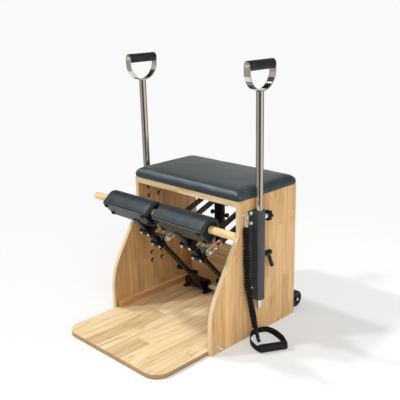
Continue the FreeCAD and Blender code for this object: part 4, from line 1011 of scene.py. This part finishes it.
def make_sleeve(material):
    route = [mm(*spot) for spot in CORD_ROUTE]
    line = even_line(smooth_line("cord_route", route), SLEEVE_STEP)
    length = line_length(line)
    radius = CORD_DIAMETER / 2
    turns = turns_round(SLEEVE_SIDES)
    points = []
    for index, ways in enumerate(ways_round(line, SLEEVE_SIDES, SLEEVE_ACROSS)):
        radii = [ruffled_radius(index * SLEEVE_STEP, length, turn, radius) for turn in turns]
        points += [line[index] + way * wide for way, wide in zip(ways, radii)]
    sleeve = make_piece("strap_sleeve", points, closed_faces(len(line), SLEEVE_SIDES), material)
    set_uv(sleeve, SLEEVE_SIDES, SLEEVE_STEP, math.tau * radius)
    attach(sleeve, "frame")
    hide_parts("strap_cord")
    return sleeve, line


def ruffled_radius(along, length, turn, radius):
    """The sleeve's gathers: uneven round folds, a little narrower towards its end."""
    narrow = max(0.0, (along / length - NARROW_SHARE) / (1 - NARROW_SHARE))
    depth = GATHER_DEPTH - GATHER_LOSS * narrow
    drift = noise.noise(Vector((along / DRIFT_PITCH, math.cos(turn), math.sin(turn))))
    lean = GATHER_LEAN * math.sin(turn + along / LEAN_PITCH)
    fold = 2 * abs(math.sin(math.pi * along / GATHER_PITCH + GATHER_DRIFT * drift + lean)) - 1
    swell = noise.noise(Vector((along / SWELL_PITCH, *SWELL_SEEDS)))
    tight = min(1.0, NECK_SHARE + along / NECK_LENGTH) * (1 - NARROW_LOSS * narrow)
    return (radius - GATHER_DRAW) * tight + depth * (FOLD_SHARE * fold + SWELL_SHARE * swell)


# A moulded end: a collar, a waist and a rounded tip
TAG_SHARES = ((0.0, 0.80), (0.02, 0.96), (0.16, 1.0), (0.22, 0.98), (0.26, 0.82), (0.32, 0.82),
              (0.37, 0.94), (0.60, 1.0), (0.82, 0.98), (0.92, 0.88), (0.98, 0.62), (1.0, 0.3))

RIVET_RADIUS, RIVET_HEIGHT, RIVET_SIDES = 0.0034, 0.0012, 20
RIVET_STATION_SHARE, RIVET_FOOT_SHARE = 0.76, 0.9
RIVET_SHARES = ((0.0, 1.0), (0.5, 1.0), (0.8, 0.9), (1.0, 0.66), (1.0, 0.5), (0.85, 0.44), (0.9, 0.2))


def make_rivet(start, way, material):
    """The domed end of the rivet through the tag, on the side that looks away from the panel."""
    outward = Vector((1, 0, 0))
    aside = (outward - way * way.dot(outward)).normalized()
    sunk = TAG_RADIUS * (1 - RIVET_FOOT_SHARE)
    foot = start + way * TAG_LENGTH * RIVET_STATION_SHARE + aside * TAG_RADIUS * RIVET_FOOT_SHARE
    profile = sized(RIVET_SHARES, RIVET_HEIGHT + sunk, RIVET_RADIUS)
    rivet = lathe("strap_rivet", foot, aside, profile, material, RIVET_SIDES)
    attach(rivet, "frame")
    return rivet


def make_tag(material):
    end, before = mm(*CORD_ROUTE[-1]), mm(*CORD_ROUTE[-2])
    last = (end - before).normalized()
    way = (mm(*TAG_REST) - end).normalized()
    start = end + way * TAG_RADIUS * way.cross(last).length / way.dot(last)
    tag = lathe("strap_end", start, way, sized(TAG_SHARES, TAG_LENGTH, TAG_RADIUS), material, TAG_SIDES)
    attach(tag, "frame")
    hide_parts("cord_end_tag")
    return tag, start, way


def make_stirrup_grip(material):
    start, end = [mm(*spot, GRIP_LEVEL) for spot in GRIP_ENDS]
    profile = grip_profile((end - start).length, GRIP_RADIUS, GRIP_LIP)
    grip = lathe("stirrup_foam", start, end - start, profile, material)
    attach(grip, "frame")
    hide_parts("stirrup_grip")
    return grip


def webbing_route():
    """The stirrup's points, from one end of the grip round behind the tag to the other."""
    near_end, far_end = [mm(*spot, GRIP_LEVEL) for spot in GRIP_ENDS]
    way = (far_end - near_end).normalized()
    near_tab = near_end - way * WEBBING_THICKNESS / 2
    far_tab = far_end + way * WEBBING_THICKNESS / 2
    return [near_tab, *[mm(*spot) for spot in STIRRUP_CORNERS], far_tab]


def webbing_turn(share):
    """How far the webbing leans at a share of its length: its top edge leans out on its far side."""
    flattest, spread, most = 0.77, 0.23, math.radians(-42)
    away = min(1.0, abs(share - flattest) / spread)
    return most * (1 + math.cos(math.pi * away)) / 2


def webbing_section():
    """The webbing's flat section with broken edges, as distances across it and through it."""
    wide, thick = WEBBING_WIDTH / 2, WEBBING_THICKNESS / 2
    corner = [(wide - WEBBING_LIP, thick), (wide, thick - WEBBING_LIP)]
    half = [(-across, through) for across, through in reversed(corner)] + corner
    return half + [(-across, -through) for across, through in half]


def make_webbing(material):
    line = even_line(smooth_line("webbing_route", webbing_route()), WEBBING_STEP)
    up = Vector((0, 0, 1))
    section = webbing_section()
    points = []
    for index, spot in enumerate(line):
        ahead = heading(line, index)
        turn = webbing_turn(index / (len(line) - 1))
        level = ahead.cross(up).normalized()
        over = level.cross(ahead)
        wide = over * math.cos(turn) + level * math.sin(turn)
        flat = level * math.cos(turn) - over * math.sin(turn)
        points += [spot + wide * rise + flat * out for rise, out in section]
    webbing = make_piece("stirrup_strap", points, closed_faces(len(line), len(section)), material)
    mesh_outward(webbing)
    set_uv(webbing, len(section), WEBBING_STEP, 2 * WEBBING_WIDTH)
    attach(webbing, "frame")
    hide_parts("stirrup_webbing")
    return webbing, line


def make_strap(materials):
    sleeve, line = make_sleeve(materials["cord_fabric"])
    tag, start, way = make_tag(materials["tag_rubber"])
    rivet = make_rivet(start, way, materials["bright_steel"])
    grip = make_stirrup_grip(materials["black_foam"])
    webbing, loop = make_webbing(materials["cord_fabric"])


# Stage

BACKDROP = 0.95
FLOOR_REACH, FLOOR_DROP, FLOOR_SIDES = 1.9, 0.0004, 96
FLOOR_COLOUR = (0.84, 0.84, 0.835, 1)
FLOOR_LIFT = 0.36
FADE_SHARES = ((0.55, BLACK), (0.97, WHITE))


def make_floor():
    """A round matte floor that keeps the shadow and fades into the white round about."""
    turns = turns_round(FLOOR_SIDES)
    rim = [(math.cos(turn) * FLOOR_REACH, math.sin(turn) * FLOOR_REACH, -FLOOR_DROP) for turn in turns]
    shade = Shading("floor")
    level = shade.vector(*shade.split(shade.where())[:2], 0.0)
    away = shade.add("ShaderNodeVectorMath", {0: level}, operation="LENGTH")
    share = shade.math("DIVIDE", away.outputs["Value"], FLOOR_REACH)
    fade = shade.ramp(share, FADE_SHARES)
    glow = shade.add("ShaderNodeEmission", {"Color": WHITE, "Strength": BACKDROP})
    matte = shade.add("ShaderNodeBsdfDiffuse", {"Color": FLOOR_COLOUR})
    seen = shade.add("ShaderNodeLightPath").outputs["Is Camera Ray"]
    lift = shade.times(seen, shade.math("MAXIMUM", FLOOR_LIFT, fade))
    both = shade.layered(lift, matte, glow)
    shade.join(both.outputs[0], shade.tree.nodes["Material Output"].inputs["Surface"])
    floor = make_piece("floor", rim, [tuple(range(FLOOR_SIDES))], shade.material)


# The studio's walls round about, as shares of a turn and their brightness
WALL_SHARES = ((0.0, 0.22), (0.04, 0.40), (0.26, 0.44), (0.31, 0.06), (0.42, 0.06), (0.46, 0.70),
               (0.60, 0.85), (0.65, 0.20), (0.74, 0.16), (0.79, 0.62), (0.87, 0.70), (0.91, 0.10),
               (0.96, 0.12))

# Its ceiling, as shares of the height overhead and the brightness that they give the walls
CEILING_SHARES = ((0.0, 1.0), (0.1, 0.9), (0.2, 1.35), (0.5, 1.45), (0.56, 0.1), (0.8, 0.1), (0.86, 1.2))
WARM_SHARES = (1.0, 0.97, 0.92)
EVEN_COLOUR, EVEN_STRENGTH = (1.0, 0.99, 0.97, 1.0), 0.52


def warm_greys(shares):
    """Stops of a colour ramp, each a warm grey."""
    return [(position, (*[level * share for share in WARM_SHARES], 1.0)) for position, level in shares]


def make_world():
    """White to the camera, even light for matte faces, and bright and dark walls for shiny ones."""
    world = bpy.data.worlds.new("studio")
    bpy.context.scene.world = world
    world.use_nodes = True
    world.node_tree.nodes.clear()
    studio = Nodes(world.node_tree)
    way = studio.where("Generated")
    turn = studio.add("ShaderNodeTexGradient", {"Vector": way}, gradient_type="RADIAL").outputs["Color"]
    rise = studio.split(way)[2]
    walls = studio.ramp(turn, warm_greys(WALL_SHARES))
    ceiling = studio.ramp(rise, warm_greys(CEILING_SHARES))
    mirrored = studio.add("ShaderNodeBackground", {"Color": walls, "Strength": ceiling})
    even = studio.add("ShaderNodeBackground", {"Color": EVEN_COLOUR, "Strength": EVEN_STRENGTH})
    white = studio.add("ShaderNodeBackground", {"Color": WHITE, "Strength": BACKDROP})
    path = studio.add("ShaderNodeLightPath").outputs
    lit = studio.layered(path["Is Glossy Ray"], even, mirrored)
    seen = studio.layered(path["Is Camera Ray"], lit, white)
    studio.add("ShaderNodeOutputWorld", {"Surface": seen.outputs[0]})


# The way each sun shines, its strength and how wide it looks in degrees
SUNS = {
    "key": (Vector((0.687, 0.2425, -1.0)), 1.15, 5),
    "front": (Vector((0.64, 0.76, -1.0)), 1.25, 4),
}
FILL_PLACE, FILL_TARGET = Vector((3.4, -1.6, 2.0)), Vector((0, 0, 0.4))
FILL_WIDTH, FILL_HEIGHT, FILL_POWER = 3.0, 2.4, 70


def add_light(data, way):
    """A lamp that shines one way."""
    lamp = bpy.data.objects.new(data.name, data)
    lamp.rotation_mode = "QUATERNION"
    lamp.rotation_quaternion = way.to_track_quat("-Z", "Y")
    bpy.context.scene.collection.objects.link(lamp)
    return lamp


def make_lights():
    """Two key lights, from the left and from the front left, and a broad fill on the right."""
    for name, (way, strength, spread) in SUNS.items():
        sun = bpy.data.lights.new(name, "SUN")
        sun.energy = strength
        sun.angle = math.radians(spread)
        add_light(sun, way)
    soft = bpy.data.lights.new("fill", "AREA")
    soft.shape = "RECTANGLE"
    soft.size, soft.size_y = FILL_WIDTH, FILL_HEIGHT
    soft.energy = FILL_POWER
    add_light(soft, FILL_TARGET - FILL_PLACE).location = FILL_PLACE


def main():
    bpy.context.scene.view_settings.view_transform = "Standard"
    make_camera()
    materials = make_materials()
    dress_nodes(materials)
    make_strap(materials)
    make_seat_pad(materials["seat_leather"])
    for side, sign in SIDES:
        make_pedal_pad(side, sign, materials["pedal_leather"])
        make_springs(side, sign, materials["spring_steel"])
        make_plate_bolts(side, sign, materials["black_bolt"])
        make_handle_grip(side, materials["hand_grip"])
    make_floor()
    make_world()
    make_lights()


main()
